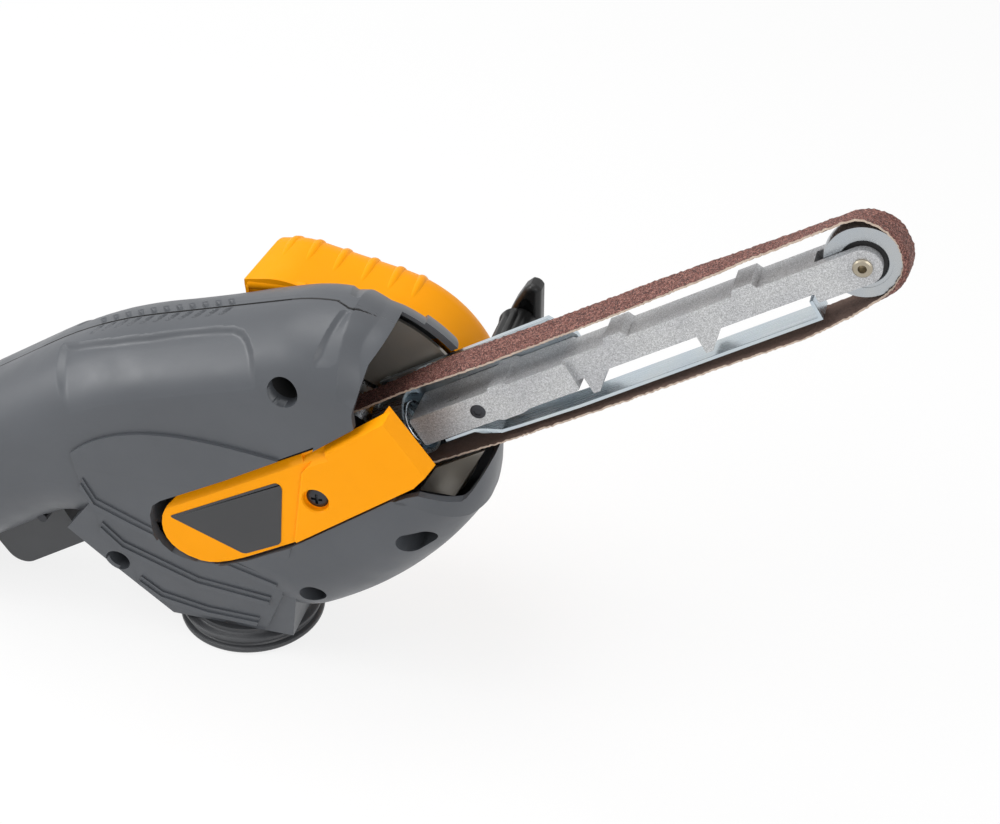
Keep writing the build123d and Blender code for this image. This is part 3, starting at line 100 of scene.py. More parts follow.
class Graph:
    """Node tree of one material, built link by link on Object coordinates."""

    octave_share = 0.55

    def __init__(self, name: str) -> None:
        """Starts a material with one Principled shader.

        Args:
            name: the material's name.
        """
        self.material = bpy.data.materials.new(name)
        self.material.use_nodes = True
        self.tree = self.material.node_tree
        self.shader = self.tree.nodes["Principled BSDF"]
        self.place = self.tree.nodes.new("ShaderNodeTexCoord").outputs["Object"]

    def node(self, kind: str, **inputs: object) -> bpy.types.Node:
        """Adds a node and fills its inputs.

        Args:
            kind: the node's type name.
            inputs: values or sockets by input name, with underscores for spaces.

        Returns:
            The new node.
        """
        node = self.tree.nodes.new(kind)
        for key, value in inputs.items():
            self.feed(value, node.inputs[key.replace("_", " ")])
        return node

    def feed(self, value: object, socket: Socket) -> None:
        """Links a socket, or sets a plain value.

        Args:
            value: an output socket, a number or a colour.
            socket: the input it goes to.
        """
        if isinstance(value, Socket):
            self.tree.links.new(value, socket)
        else:
            socket.default_value = value

    def stretch(self, scale: Spot, turn: Spot = (0, 0, 0)) -> Socket:
        """Object coordinates, scaled and turned.

        Args:
            scale: factor along each axis.
            turn: turn about each axis, in degrees.

        Returns:
            The mapped vector.
        """
        node = self.node("ShaderNodeMapping", Vector=self.place, Scale=scale)
        node.inputs["Rotation"].default_value = tuple(math.radians(a) for a in turn)
        return node.outputs["Vector"]

    def noise(self, scale: float, detail: float, at: Socket | None = None) -> Socket:
        """Cloudy noise from 0 to 1.

        Args:
            scale: cells in a metre.
            detail: octaves.
            at: vector to read, else Object coordinates.

        Returns:
            The noise value.
        """
        where = at or self.place
        node = self.node("ShaderNodeTexNoise", Vector=where, Scale=scale, Detail=detail,
                         Roughness=self.octave_share)
        return node.outputs["Fac"]

    def cells(self, scale: float, output: str = "Color") -> Socket:
        """Random cells, for grains and flakes.

        Args:
            scale: cells in a metre.
            output: the Voronoi output that is wanted.

        Returns:
            The chosen output.
        """
        return self.node("ShaderNodeTexVoronoi", Vector=self.place, Scale=scale).outputs[output]

    def ramp(self, value: Socket, *stops: tuple[float, Colour]) -> Socket:
        """Colours over a value.

        Args:
            value: the value that is read.
            stops: places from 0 to 1 with their colours.

        Returns:
            The colour.
        """
        node = self.node("ShaderNodeValToRGB", Fac=value)
        band = node.color_ramp
        while len(band.elements) < len(stops):
            band.elements.new(0.5)
        for element, (where, colour) in zip(band.elements, stops):
            element.position = where
            element.color = (*colour, 1.0)
        return node.outputs["Color"]

    def span(self, value: Socket, low: float, high: float, start: float = 0.3, end: float = 0.7) -> Socket:
        """Value brought into another range.

        Args:
            value: the value that is read.
            low: result at start.
            high: result at end.
            start: value that gives low.
            end: value that gives high.

        Returns:
            The new value.
        """
        node = self.node("ShaderNodeMapRange", Value=value, From_Min=start, From_Max=end,
                         To_Min=low, To_Max=high)
        return node.outputs["Result"]

    def multiply(self, share: float, first: Socket, second: Socket) -> Socket:
        """Product of two colours.

        Args:
            share: how far the second one counts.
            first: the colour.
            second: the colour that darkens it.

        Returns:
            The darkened colour.
        """
        node = self.tree.nodes.new("ShaderNodeMix")
        node.data_type = "RGBA"
        node.blend_type = "MULTIPLY"
        for index, value in ((0, share), (6, first), (7, second)):
            self.feed(value, node.inputs[index])
        return node.outputs[2]

    def bump(self, height: Socket, depth_mm: float, under: Socket | None = None) -> Socket:
        """Surface relief.

        Args:
            height: relief from 0 to 1.
            depth_mm: depth of the relief in millimetres.
            under: relief that this one lies on.

        Returns:
            The normal.
        """
        node = self.node("ShaderNodeBump", Height=height, Distance=depth_mm * MM, Strength=1.0)
        if under is not None:
            self.feed(under, node.inputs["Normal"])
        return node.outputs["Normal"]

    def finish(self, **inputs: object) -> bpy.types.Material:
        """Fills the shader and hands over the material.

        Args:
            inputs: shader inputs, with underscores for spaces.

        Returns:
            The material.
        """
        for key, value in inputs.items():
            self.feed((*value, 1.0) if isinstance(value, tuple) and len(value) == 3 else value,
                      self.shader.inputs[key.replace("_", " ")])
        return self.material


class Finish(Protocol):
    """A surface that can make its material."""

    name: str

    def build(self) -> bpy.types.Material:
        """Makes the material."""


@dataclass(frozen=True)
class MouldedPlastic:
    """Injection-moulded plastic with a fine spark-eroded grain."""

    name: str
    colour: Colour
    roughness: float = 0.42
    grain_mm: float = 0.35
    grain_depth_mm: float = 0.02
    variation: float = 0.06
    gloss: float = 0.45

    def build(self) -> bpy.types.Material:
        """Makes the material.

        Returns:
            The material.
        """
        graph = Graph(self.name)
        clouds = graph.noise(28.0, 4.0)
        low = tuple(c * (1 - self.variation) for c in self.colour)
        high = tuple(min(1.0, c * (1 + self.variation)) for c in self.colour)
        colour = graph.ramp(clouds, (0.3, low), (0.7, high))
        grain = graph.noise(1.0 / (self.grain_mm * MM), 2.0)
        rough = graph.span(graph.noise(90.0, 5.0), self.roughness - 0.05, self.roughness + 0.07)
        return graph.finish(Base_Color=colour, Roughness=rough, Normal=graph.bump(grain, self.grain_depth_mm),
                            Specular_IOR_Level=self.gloss)


@dataclass(frozen=True)
class SparkleCast:
    """Cast metal under a metallic coat with visible flakes."""

    name: str
    colour: Colour
    flake_mm: float = 0.24

    def build(self) -> bpy.types.Material:
        """Makes the material.

        Returns:
            The material.
        """
        graph = Graph(self.name)
        flakes = graph.node("ShaderNodeSeparateColor", Color=graph.cells(1.0 / (self.flake_mm * MM)))
        dark = tuple(c * 0.7 for c in self.colour)
        light = tuple(min(1.0, c * 1.4) for c in self.colour)
        spark = graph.ramp(flakes.outputs[0], (0.1, dark), (0.5, self.colour), (0.96, light))
        stain = graph.ramp(graph.noise(45.0, 4.0), (0.35, (0.86, 0.86, 0.88)), (0.65, (1.0, 1.0, 1.0)))
        tone = graph.multiply(1.0, spark, stain)
        skin = graph.bump(graph.noise(900.0, 4.0), 0.07)
        relief = graph.bump(flakes.outputs[1], 0.03, under=skin)
        rough = graph.span(flakes.outputs[2], 0.32, 0.58, 0.0, 1.0)
        return graph.finish(Base_Color=tone, Metallic=0.62, Roughness=rough, Normal=relief)


@dataclass(frozen=True)
class PlatedSteel:
    """Sheet or turned steel with a plated, faintly drawn surface."""

    name: str
    colour: Colour
    roughness: float = 0.3
    drawn: Spot = (12.0, 1200.0, 1200.0)
    turn: Spot = (0.0, 0.0, 0.0)
    tint: Colour = (0.9, 0.94, 1.0)
    metallic: float = 1.0

    def build(self) -> bpy.types.Material:
        """Makes the material.

        Returns:
            The material.
        """
        graph = Graph(self.name)
        lines = graph.noise(1.0, 4.0, at=graph.stretch(self.drawn, self.turn))
        clouds = graph.noise(60.0, 4.0)
        cool = tuple(c * t for c, t in zip(self.colour, self.tint))
        colour = graph.ramp(clouds, (0.32, cool), (0.68, self.colour))
        rough = graph.span(lines, self.roughness - 0.08, self.roughness + 0.12)
        return graph.finish(Base_Color=colour, Metallic=self.metallic, Roughness=rough,
                            Normal=graph.bump(lines, 0.012))


@dataclass(frozen=True)
class AbrasiveGrit:
    """Coated abrasive: packed grains in resin."""

    name: str
    dark: Colour = (0.05, 0.018, 0.015)
    mid: Colour = (0.19, 0.064, 0.051)
    light: Colour = (0.45, 0.22, 0.175)
    grain_mm: float = 0.42

    def build(self) -> bpy.types.Material:
        """Makes the material.

        Returns:
            The material.
        """
        graph = Graph(self.name)
        scale = 1.0 / (self.grain_mm * MM)
        seeds = graph.node("ShaderNodeSeparateColor", Color=graph.cells(scale))
        domes = graph.cells(scale, "Distance")
        colour = graph.ramp(seeds.outputs[0], (0.05, self.dark), (0.5, self.mid), (0.97, self.light))
        pits = graph.ramp(domes, (0.25, (1.0, 1.0, 1.0)), (0.75, (0.45, 0.42, 0.42)))
        shade = graph.multiply(0.85, colour, pits)
        height = graph.span(domes, 1.0, 0.0, 0.0, 0.8)
        rough = graph.span(seeds.outputs[1], 0.5, 0.9, 0.0, 1.0)
        return graph.finish(Base_Color=shade, Roughness=rough, Normal=graph.bump(height, 0.2))


@dataclass(frozen=True)
class WovenBacking:
    """Belt's cloth backing."""

    name: str
    colour: Colour

    def build(self) -> bpy.types.Material:
        """Makes the material.

        Returns:
            The material.
        """
        graph = Graph(self.name)
        threads = graph.noise(1.0, 3.0, at=graph.stretch((2600.0, 900.0, 2600.0)))
        dark = tuple(c * 0.72 for c in self.colour)
        colour = graph.ramp(threads, (0.3, dark), (0.7, self.colour))
        return graph.finish(Base_Color=colour, Roughness=0.88, Normal=graph.bump(threads, 0.06))


@dataclass(frozen=True)
class WoundCopper:
    """Enamelled copper wire or copper bars, with a line across every turn."""

    name: str
    colour: Colour = (0.62, 0.24, 0.11)

    def build(self) -> bpy.types.Material:
        """Makes the material.

        Returns:
            The material.
        """
        graph = Graph(self.name)
        wires = graph.noise(1.0, 2.0, at=graph.stretch((250.0, 1500.0, 1500.0)))
        colour = graph.ramp(wires, (0.35, tuple(c * 0.55 for c in self.colour)), (0.6, self.colour))
        return graph.finish(Base_Color=colour, Metallic=0.85, Roughness=0.35, Normal=graph.bump(wires, 0.1))


FINISHES: dict[str, Finish] = {finish.name: finish for finish in (
    MouldedPlastic("grey_plastic", (0.077, 0.083, 0.093), 0.4),
    MouldedPlastic("yellow_plastic", (0.98, 0.355, 0.0005), 0.42, 0.5, 0.012, 0.03, 0.1),
    MouldedPlastic("dark_plastic", (0.05, 0.052, 0.056), 0.4),
    MouldedPlastic("black_plastic", (0.006, 0.006, 0.006), 0.36, gloss=0.35),
    MouldedPlastic("black_rubber", (0.02, 0.02, 0.021), 0.65, 0.6, 0.04),
    MouldedPlastic("label_film", (0.036, 0.037, 0.04), 0.33, 0.8, 0.006),
    PlatedSteel("screw_steel", (0.06, 0.06, 0.064), 0.42),
    SparkleCast("cast_metal", (0.5, 0.505, 0.51)),
    PlatedSteel("zinc_steel", (0.56, 0.61, 0.63), 0.27, (25.0, 1500.0, 25.0), (0, -ARM_PITCH, 0)),
    PlatedSteel("bearing_steel", (0.46, 0.475, 0.48), 0.28, (900.0, 40.0, 900.0)),
    PlatedSteel("axle_brass", (0.38, 0.35, 0.29), 0.34, (900.0, 60.0, 900.0), tint=(1.0, 0.92, 0.8)),
    # Warm brown tint of the polished shield: painted reflection of the yellow cover and belt.
    PlatedSteel("shield_zinc_painted_reflection", (0.4, 0.375, 0.33), 0.34, (25.0, 1500.0, 25.0), metallic=0.7),
    MouldedPlastic("pulley_rubber", (0.024, 0.024, 0.025), 0.6, 0.5, 0.05),
    AbrasiveGrit("abrasive_cloth"),
    # Backing cloth darkened with painted shade of the belt's inner face; the rim shows the same cloth paler.
    WovenBacking("belt_backing_painted_shade", (0.2, 0.13, 0.105)),
    WovenBacking("belt_rim", (0.6, 0.48, 0.39)),
    PlatedSteel("core_iron", (0.13, 0.13, 0.14), 0.5, (2200.0, 20.0, 20.0)),
    WoundCopper("copper"),
    MouldedPlastic("carbon", (0.022, 0.022, 0.024), 0.5, 0.2, 0.03),
)}


class Stock:
    """Materials, made once and shared."""

    made: dict[str, bpy.types.Material] = {}

    @classmethod
    def of(cls, name: str) -> bpy.types.Material:
        """Material of one finish.

        Args:
            name: the finish's name.

        Returns:
            The material.
        """
        if name not in cls.made:
            cls.made[name] = FINISHES[name].build()
        return cls.made[name]


class Side(Enum):
    """Sides of the tool, by the sign of Y."""

    RIGHT = -1
    LEFT = 1


def leaned(origin: Point, pitch: float, along: float, up: float, y: float) -> Vector:
    """Point of a leaning frame.

    Args:
        origin: the frame's origin in side view, in millimetres.
        pitch: its lean in degrees.
        along: place along it.
        up: place square to it.
        y: place across.

    Returns:
        The point in metres.
    """
    lean = math.radians(pitch)
    return Vector((origin[0] + along * math.cos(lean) - up * math.sin(lean), y,
                   origin[1] + along * math.sin(lean) + up * math.cos(lean))) * MM


def measured(origin: Point, pitch: float, x: float, z: float) -> Point:
    """Place of a side-view point in a leaning frame.

    Args:
        origin: the frame's origin in side view, in millimetres.
        pitch: its lean in degrees.
        x: the point's X.
        z: the point's Z.

    Returns:
        Its place along the frame and square to it.
    """
    lean, dx, dz = math.radians(pitch), x - origin[0], z - origin[1]
    return dx * math.cos(lean) + dz * math.sin(lean), dz * math.cos(lean) - dx * math.sin(lean)


def arm(a: float, w: float, y: float = 0.0) -> Vector:
    """Point of the arm's own frame: along it, square to it and across, in millimetres."""
    return leaned(ARM_AT, ARM_PITCH, a, w, y)


def grip(s: float, t: float, y: float = 0.0) -> Vector:
    """Point of the grip's own frame: along it, square to it and across, in millimetres."""
    return leaned(GRIP_AT, GRIP_PITCH, s, t, y)


def hexagon(centre: Vector, radius: float, y: float) -> list[Vector]:
    """Six corners about a cross axis, radius and Y in millimetres."""
    turns = [k * math.pi / 3 for k in range(6)]
    return [centre + Vector((radius * math.cos(t), y, radius * math.sin(t))) * MM for t in turns]


def flat(points: Points, y: float) -> list[Vector]:
    """Side-view points in millimetres, set at one Y."""
    return [Vector((x, y, z)) * MM for x, z in points]


def follow(value: float, line: Points) -> float:
    """Straight-line reading of a table.

    Args:
        value: place on the table.
        line: places in rising order with their values.

    Returns:
        The value there, held at both ends.
    """
    if value <= line[0][0]:
        return line[0][1]
    for (x0, y0), (x1, y1) in zip(line, line[1:]):
        if value <= x1:
            return y0 + (y1 - y0) * (value - x0) / (x1 - x0)
    return line[-1][1]


def ease(value: float, low: float = 0.0, high: float = 1.0) -> float:
    """Smooth step.

    Args:
        value: the value that is read.
        low: value that gives 0.
        high: value that gives 1.

    Returns:
        A number from 0 to 1.
    """
    share = min(1.0, max(0.0, (value - low) / (high - low)))
    return share * share * (3 - 2 * share)


class Bench:
    """Modelling tools, used on one piece at a time."""

    @staticmethod
    def solo(piece: Piece) -> None:
        """Selects one piece alone, in object mode.

        Args:
            piece: the piece.
        """
        if bpy.context.object is not None and bpy.context.object.mode != "OBJECT":
            bpy.ops.object.mode_set(mode="OBJECT")
        bpy.ops.object.select_all(action="DESELECT")
        piece.select_set(True)
        bpy.context.view_layer.objects.active = piece

    @staticmethod
    def loop(name: str, spots: Sequence[Vector], fill: bool = True) -> Piece:
        """Starts a piece from a ring of points.

        Args:
            name: the piece's name.
            spots: corners in order, in metres.
            fill: whether the ring gets a face.

        Returns:
            The new piece.
        """
        bpy.ops.object.select_all(action="DESELECT")
        bpy.ops.mesh.primitive_circle_add(vertices=len(spots), fill_type="NGON" if fill else "NOTHING")
        piece = bpy.context.object
        piece.name = piece.data.name = name
        for vertex, spot in zip(piece.data.vertices, spots):
            vertex.co = spot
        return piece

    @staticmethod
    @contextmanager
    def opened(piece: Piece) -> Iterator[None]:
        """Edit mode with all of a piece selected, for the length of a with block.

        Args:
            piece: the piece.

        Returns:
            Nothing to use.
        """
        Bench.solo(piece)
        bpy.ops.object.mode_set(mode="EDIT")
        bpy.ops.mesh.select_all(action="SELECT")
        yield
        bpy.ops.object.mode_set(mode="OBJECT")

    @staticmethod
    def close(piece: Piece, weld: float = 0.002) -> Piece:
        """Welds doubles and turns the faces outwards.

        Args:
            piece: the piece.
            weld: points nearer than this become one, in millimetres.

        Returns:
            The piece.
        """
        with Bench.opened(piece):
            bpy.ops.mesh.remove_doubles(threshold=weld * MM)
            bpy.ops.mesh.normals_make_consistent(inside=False)
        return piece

    @staticmethod
    def apply(piece: Piece, kind: str, **settings: object) -> Piece:
        """Puts a modifier on a piece and applies it.

        Args:
            piece: the piece.
            kind: the modifier's type name.
            settings: its settings.

        Returns:
            The piece.
        """
        Bench.solo(piece)
        change = piece.modifiers.new(kind.lower(), kind)
        for key, value in settings.items():
            setattr(change, key, value)
        bpy.ops.object.modifier_apply(modifier=change.name)
        return piece

    @staticmethod
    def prism(name: str, spots: Sequence[Vector], way: Spot, corner: float = 0.0) -> Piece:
        """Raises a plate from an outline.

        Args:
            name: the piece's name.
            spots: corners of the outline, in metres.
            way: how far it is raised, in millimetres.
            corner: rounding of its corners, in millimetres.

        Returns:
            The closed plate.
        """
        piece = Bench.loop(name, spots)
        with Bench.opened(piece):
            if corner:
                bpy.ops.mesh.bevel(offset=corner * MM, segments=5, affect="VERTICES")
                bpy.ops.mesh.select_all(action="SELECT")
            bpy.ops.mesh.extrude_region_move(TRANSFORM_OT_translate={"value": tuple(c * MM for c in way)})
        return Bench.close(piece)

    @staticmethod
    def turned(name: str, profile: Points, centre: Vector, axis: Spot, steps: int = 64) -> Piece:
        """Spins a closed profile about an axis.

        Args:
            name: the piece's name.
            profile: radius and height of each corner, in millimetres.
            centre: point on the axis, in metres.
            axis: the axis.
            steps: faces round the axis.

        Returns:
            The turned piece.
        """
        spots = [centre + (Vector((1, 0, 0)) * r + Vector(axis) * h) * MM for r, h in profile]
        piece = Bench.loop(name, spots, fill=False)
        with Bench.opened(piece):
            bpy.ops.mesh.spin(steps=steps, angle=math.tau, center=centre, axis=axis)
        return Bench.close(piece)

    @staticmethod
    @contextmanager
    def picked(piece: Piece, test: EdgeTest) -> Iterator[None]:
        """Edit mode with the edges selected that a test picks, for the length of a with block.

        Args:
            piece: the piece.
            test: takes an edge's two ends in millimetres.

        Returns:
            Nothing to use.
        """
        with Bench.opened(piece):
            bpy.ops.mesh.select_mode(type="EDGE")
            bpy.ops.mesh.select_all(action="DESELECT")
        points = [vertex.co / MM for vertex in piece.data.vertices]
        for edge in piece.data.edges:
            edge.select = test(points[edge.vertices[0]], points[edge.vertices[1]])
        bpy.ops.object.mode_set(mode="EDIT")
        yield
        bpy.ops.object.mode_set(mode="OBJECT")

    @staticmethod
    def round_edges(piece: Piece, width: float, test: EdgeTest, segments: int) -> None:
        """Rounds the edges that a test picks.

        Args:
            piece: the piece.
            width: bevel width in millimetres.
            test: takes an edge's two ends in millimetres.
            segments: steps of the rounding.
        """
        with Bench.picked(piece, test):
            bpy.ops.mesh.bevel(offset=width * MM, segments=segments, affect="EDGES", clamp_overlap=True)

    @staticmethod
    def soften(piece: Piece, width: float, angle: float = 35.0, segments: int = 2) -> Piece:
        """Rounds every sharp edge with an applied bevel.

        Args:
            piece: the piece.
            width: bevel width in millimetres.
            angle: smallest angle that counts as sharp, in degrees.
            segments: steps of the rounding.

        Returns:
            The piece.
        """
        return Bench.apply(piece, "BEVEL", width=width * MM, segments=segments, limit_method="ANGLE",
                           angle_limit=math.radians(angle), use_clamp_overlap=True)

    @staticmethod
    def cut(piece: Piece, tool: Piece, how: str = "DIFFERENCE") -> Piece:
        """Cuts a tool out of a piece, or melts it on, and throws the tool away.

        Args:
            piece: the piece.
            tool: the other solid.
            how: DIFFERENCE, UNION or INTERSECT.

        Returns:
            The piece.
        """
        Bench.apply(piece, "BOOLEAN", operation=how, solver="EXACT", object=tool)
        bpy.data.objects.remove(tool, do_unlink=True)
        return piece

    @staticmethod
    def twin(piece: Piece, name: str) -> Piece:
        """Copies a piece with a mesh of its own.

        Args:
            piece: the piece.
            name: the copy's name.

        Returns:
            The copy.
        """
        other = bpy.data.objects.new(name, piece.data.copy())
        bpy.context.scene.collection.objects.link(other)
        return other

    @staticmethod
    def copy_node(name: str, node: str, weld: float = 0.004) -> Piece:
        """Copies a CAD node's mesh as the start of a piece, and welds its loose triangles.

        Args:
            name: the piece's name.
            node: the CAD node.
            weld: points nearer than this become one, in millimetres.

        Returns:
            The new piece.
        """
        piece = Bench.twin(frame["nodes"][node], name)
        with Bench.opened(piece):
            bpy.ops.mesh.remove_doubles(threshold=weld * MM)
        return piece

    @staticmethod
    def merge_flats(piece: Piece) -> None:
        """Makes one face of triangles that lie in one plane."""
        with Bench.opened(piece):
            bpy.ops.mesh.dissolve_limited(angle_limit=math.radians(1.0))

    @staticmethod
    def ball(place: Vector, radius: float, segments: int, rings: int, scale: Spot = (1, 1, 1)) -> Piece:
        """Makes a ball or an egg.

        Args:
            place: its middle, in metres.
            radius: its radius in millimetres.
            segments: faces round it.
            rings: faces from pole to pole.
            scale: stretch along each axis.

        Returns:
            The ball, with its stretch applied.
        """
        bpy.ops.object.select_all(action="DESELECT")
        bpy.ops.mesh.primitive_uv_sphere_add(segments=segments, ring_count=rings, radius=radius * MM,
                                             location=place)
        ball = bpy.context.object
        ball.scale = scale
        bpy.ops.object.transform_apply(location=True, rotation=True, scale=True)
        return ball

    @staticmethod
    def keep_normals(piece: Piece, node: str, reach: float = 0.02, spread: float = 40.0) -> None:
        """Gives the untouched skin of a carved copy the exact normals of its CAD node.

        Args:
            piece: the carved copy.
            node: the CAD node that it was copied from.
            reach: how far a point may lie from the node's skin, in millimetres.
            spread: largest angle between a face and the normal that it takes, in degrees.
        """
        source, mesh = frame["nodes"][node].data, piece.data
        spots = [vertex.co for vertex in source.vertices]
        faces = [tuple(face.vertices) for face in source.polygons]
        skin = BVHTree.FromPolygons(spots, faces)
        corners = [normal.vector.copy() for normal in source.corner_normals]
        ways = [face.normal.copy() for face in source.polygons]
        near = [[hit[2] for hit in skin.find_nearest_range(vertex.co, reach * MM)]
                for vertex in mesh.vertices]
        limit = math.cos(math.radians(spread))
        normals = [Vector((0, 0, 0))] * len(mesh.loops)
        for face in mesh.polygons:
            if skin.find_nearest(face.center)[3] > reach * MM:
                continue
            for corner in face.loop_indices:
                point = mesh.loops[corner].vertex_index
                if not near[point]:
                    continue
                best = max(near[point], key=lambda index: ways[index].dot(face.normal))
                start = source.polygons[best].loop_start
                ends = [spots[index] for index in faces[best]]
                shares = poly_3d_calc(ends, mesh.vertices[point].co)
                normal = sum((corners[start + k] * share for k, share in enumerate(shares)),
                             Vector((0, 0, 0)))
                if normal.length > 0.5 and normal.normalized().dot(face.normal) > limit:
                    normals[corner] = normal.normalized()
        mesh.normals_split_custom_set(normals)

    @staticmethod
    def join(pieces: Sequence[Piece]) -> Piece:
        """Joins pieces into the first one.

        Args:
            pieces: the pieces.

        Returns:
            The first piece, bare of materials.
        """
        Bench.solo(pieces[0])
        for piece in pieces[1:]:
            piece.select_set(True)
        bpy.ops.object.join()
        pieces[0].data.materials.clear()
        for face in pieces[0].data.polygons:
            face.material_index = 0
        return pieces[0]

    @staticmethod
    def hand_over(piece: Piece, body: Body, slot: str, *nodes: str, angle: float = 32.0,
                  finish: str | None = None) -> Piece:
        """Dresses a finished piece and sets it on its body.

        Args:
            piece: the piece.
            body: the CAD body that it rides on.
            slot: its record slot.
            nodes: CAD nodes that it stands for.
            angle: edges sharper than this stay sharp, in degrees.
            finish: its finish, else that of the slot.

        Returns:
            The piece.
        """
        Bench.solo(piece)
        bpy.ops.object.shade_smooth_by_angle(angle=math.radians(angle))
        if len(piece.data.materials) < 2:
            piece.data.materials.clear()
            piece.data.materials.append(Stock.of(finish or slot))
        Bench.apply(piece, "WEIGHTED_NORMAL", keep_sharp=True)
        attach(piece, body.value)
        if nodes:
            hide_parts(*nodes)
        LOG.info("%s: %d faces on %s", piece.name, len(piece.data.polygons), body.value)
        return piece


@dataclass
class HousingSkin:
    """Two moulded halves: sunk flank under the thumb rest, thumb notches, parting groove and collar."""

    head_r: float = 60.2
    crown_tilt: float = 16.5
    crown_arc: float = 48.0
    bend: float = 25.0
    lead: float = 5.0
    grip_top: Point = (-92.884, 103.499)
    step: float = 0.6
    fine: float = 0.3
    coarse: float = 0.75
    skin_round: float = 39.8
    clear: float = 0.35
    cover: float = 4.0
    flank_depth: float = 2.0
    flank_band: float = 3.4
    # Distances round the edge between which the flank runs out.
    flank_fade: Point = (37.0, 15.0)
    flank_out: Point = (33.0, 37.0)
    # Outline in X and distance round the edge.
    flank: Points = (
        (-56, 36), (-61, 24), (-64.5, 13), (-66.5, 4.5), (-65.5, 1.9), (-57.2, 5.1), (-41.4, 7.5),
        (-26.8, 8.1), (-13.1, 7.4), (0.8, 7.8), (7.8, 8.6), (12.6, 11), (15.7, 14.5), (18.9, 20.4),
        (20.5, 25.9), (21.5, 31), (22, 36))
    notch_pitch: float = 5.3
    notch_span: Point = (-55.0, 3.5)
    notch_y: Point = (0.7, 5.6)
    notch_end: float = 0.6
    notch_depth: float = 1.5
    notch_half: float = 0.3
    notch_slant: float = 0.55
    notch_offset: float = 0.1
    groove_depth: float = 1.7
    groove_slope: float = 3.2
    left_groove_end: float = 44.0
    # X, and Y of the right half's groove.
    groove: Points = ((43.2, 0.0), (48.7, -3.1), (49.4, -3.1), (52.2, -2.0), (59.3, -1.0), (66.0, -1.0))
    # Distance from the middle, and X.
    crease: Points = ((5.5, 48.3), (13.5, 46.6), (20.9, 44.7), (24.5, 43.2))
    crease_depth: float = 1.1
    crease_back: float = 3.0
    # Distances from the middle between which the crease starts and ends.
    crease_start: Point = (3.5, 5.5)
    crease_end: Point = (26.5, 22.5)
    facet_depth: float = 1.5
    # How far the skin comes up again in front of the facets, and over what length.
    facet_rise: Point = (0.25, 6.0)
    # Distances round the edge between which the collar runs out.
    collar_fade: Point = (39.0, 33.0)
    collar_out: Point = (35.0, 39.0)
    # Distance from the middle, and X.
    facet_back: Points = ((0.0, 50.0), (14.7, 50.4), (19.8, 50.7), (28.0, 51.2), (29.0, 52.0))
    facet_front: Points = ((2.4, 59.6), (9.2, 58.8), (14.9, 57.6), (20.5, 57.7), (25.1, 59.4))
    pocket: Points = (
        (41.9, 110.7), (29.3, 103.0), (6.7, 89.1), (-20.8, 73.2), (-24.4, 70.0), (-26.0, 65.0),
        (-26.0, 60.0), (-25.1, 55.4), (-22.8, 50.3), (-19.4, 46.8), (-15.0, 44.8), (-9.9, 44.1),
        (-4.0, 44.5), (1.6, 45.7), (12.5, 50.5), (31.0, 61.5), (33.5, 64.0))
    pocket_run: float = 15.6
    # X, Z, radius, and distance of the floor from the middle.
    seat: tuple[float, ...] = (31.2, 132.4, 5.9, 8.3)
    # Height of the part of the seat's wall that gets painted shade, and of the whole.
    seat_high: Point = (14.5, 30.0)
    # Y span in which the seat's wall gets painted shade.
    seat_shade_y: Point = (-22.8, -6.0)
    seam_end: float = -79.0
    seam_band: Point = (30.5, 31.8)
    seam_half: float = 0.32
    seam_over: float = 0.1
    seam_reach: float = 0.62
    seam_steep: float = 0.6
    top_z: float = 90.0
    top_t: float = 30.3
    # X, Z, radius and first turn in degrees of each rounded end.
    low_seat: Sequence[tuple[float, ...]] = ((76.7, 71.3, 5.3, 117.0), (81.8, 73.9, 4.2, -63.0))
    low_seat_run: float = 28.0
    low_seat_steps: int = 20

    def build(self) -> None:
        """Carves both halves and hands them over."""
        for side, node in ((Side.RIGHT, "housing_right"), (Side.LEFT, "housing_left")):
            half = Bench.copy_node(f"{node}_skin", node)
            Bench.cut(half, self.cutter(side))
            if side is Side.RIGHT:
                self.sink(half)
            self.part_grip(half, side)
            self.paint_seam_shade(half, side)
            Bench.hand_over(half, Body.HOUSING, "grey_plastic", node, angle=30.0)
            Bench.keep_normals(half, node)

    def sink(self, half: Piece) -> None:
        """Cuts the cover's pocket and the wide screw seats into the right half.

        Args:
            half: the half of the housing.
        """
        Bench.cut(half, Bench.prism("pocket", flat(self.pocket, -OUTSIDE), (0, self.pocket_run, 0)))
        x, z, radius, floor = self.seat
        dark, high = self.seat_high
        # The wall is split where its painted shade ends.
        profile = ((0, 0), (radius, 0), (radius, dark), (radius, high), (0, high))
        Bench.cut(half, Bench.turned("seat", profile, Vector((x, -floor, z)) * MM, (0, -1, 0)))
        ring = []
        stride, count = 180.0 / self.low_seat_steps, self.low_seat_steps + 1
        for x, z, radius, start in self.low_seat:
            turns = [math.radians(start + stride * k) for k in range(count)]
            ring += [(x + radius * math.cos(t), z + radius * math.sin(t)) for t in turns]
        Bench.cut(half, Bench.prism("low_seat", flat(ring, -OUTSIDE), (0, self.low_seat_run, 0)))

    def part_grip(self, half: Piece, side: Side) -> None:
        """Runs the parting groove on down the grip's back, to the speed wheel.

        Args:
            half: the half of the housing.
            side: which half.
        """
        x, z, _ = self.spine()[0]
        front, (low, high) = measured(GRIP_AT, GRIP_PITCH, x, z)[0] + self.step, self.seam_band
        corners = ((front, low), (self.seam_end, low), (self.seam_end, high), (front, high))
        near = -self.seam_half if side is Side.RIGHT else -self.seam_over
        way = (0, self.seam_half + self.seam_over, 0)
        Bench.cut(half, Bench.prism("seam", [grip(s, t, near) for s, t in corners], way))

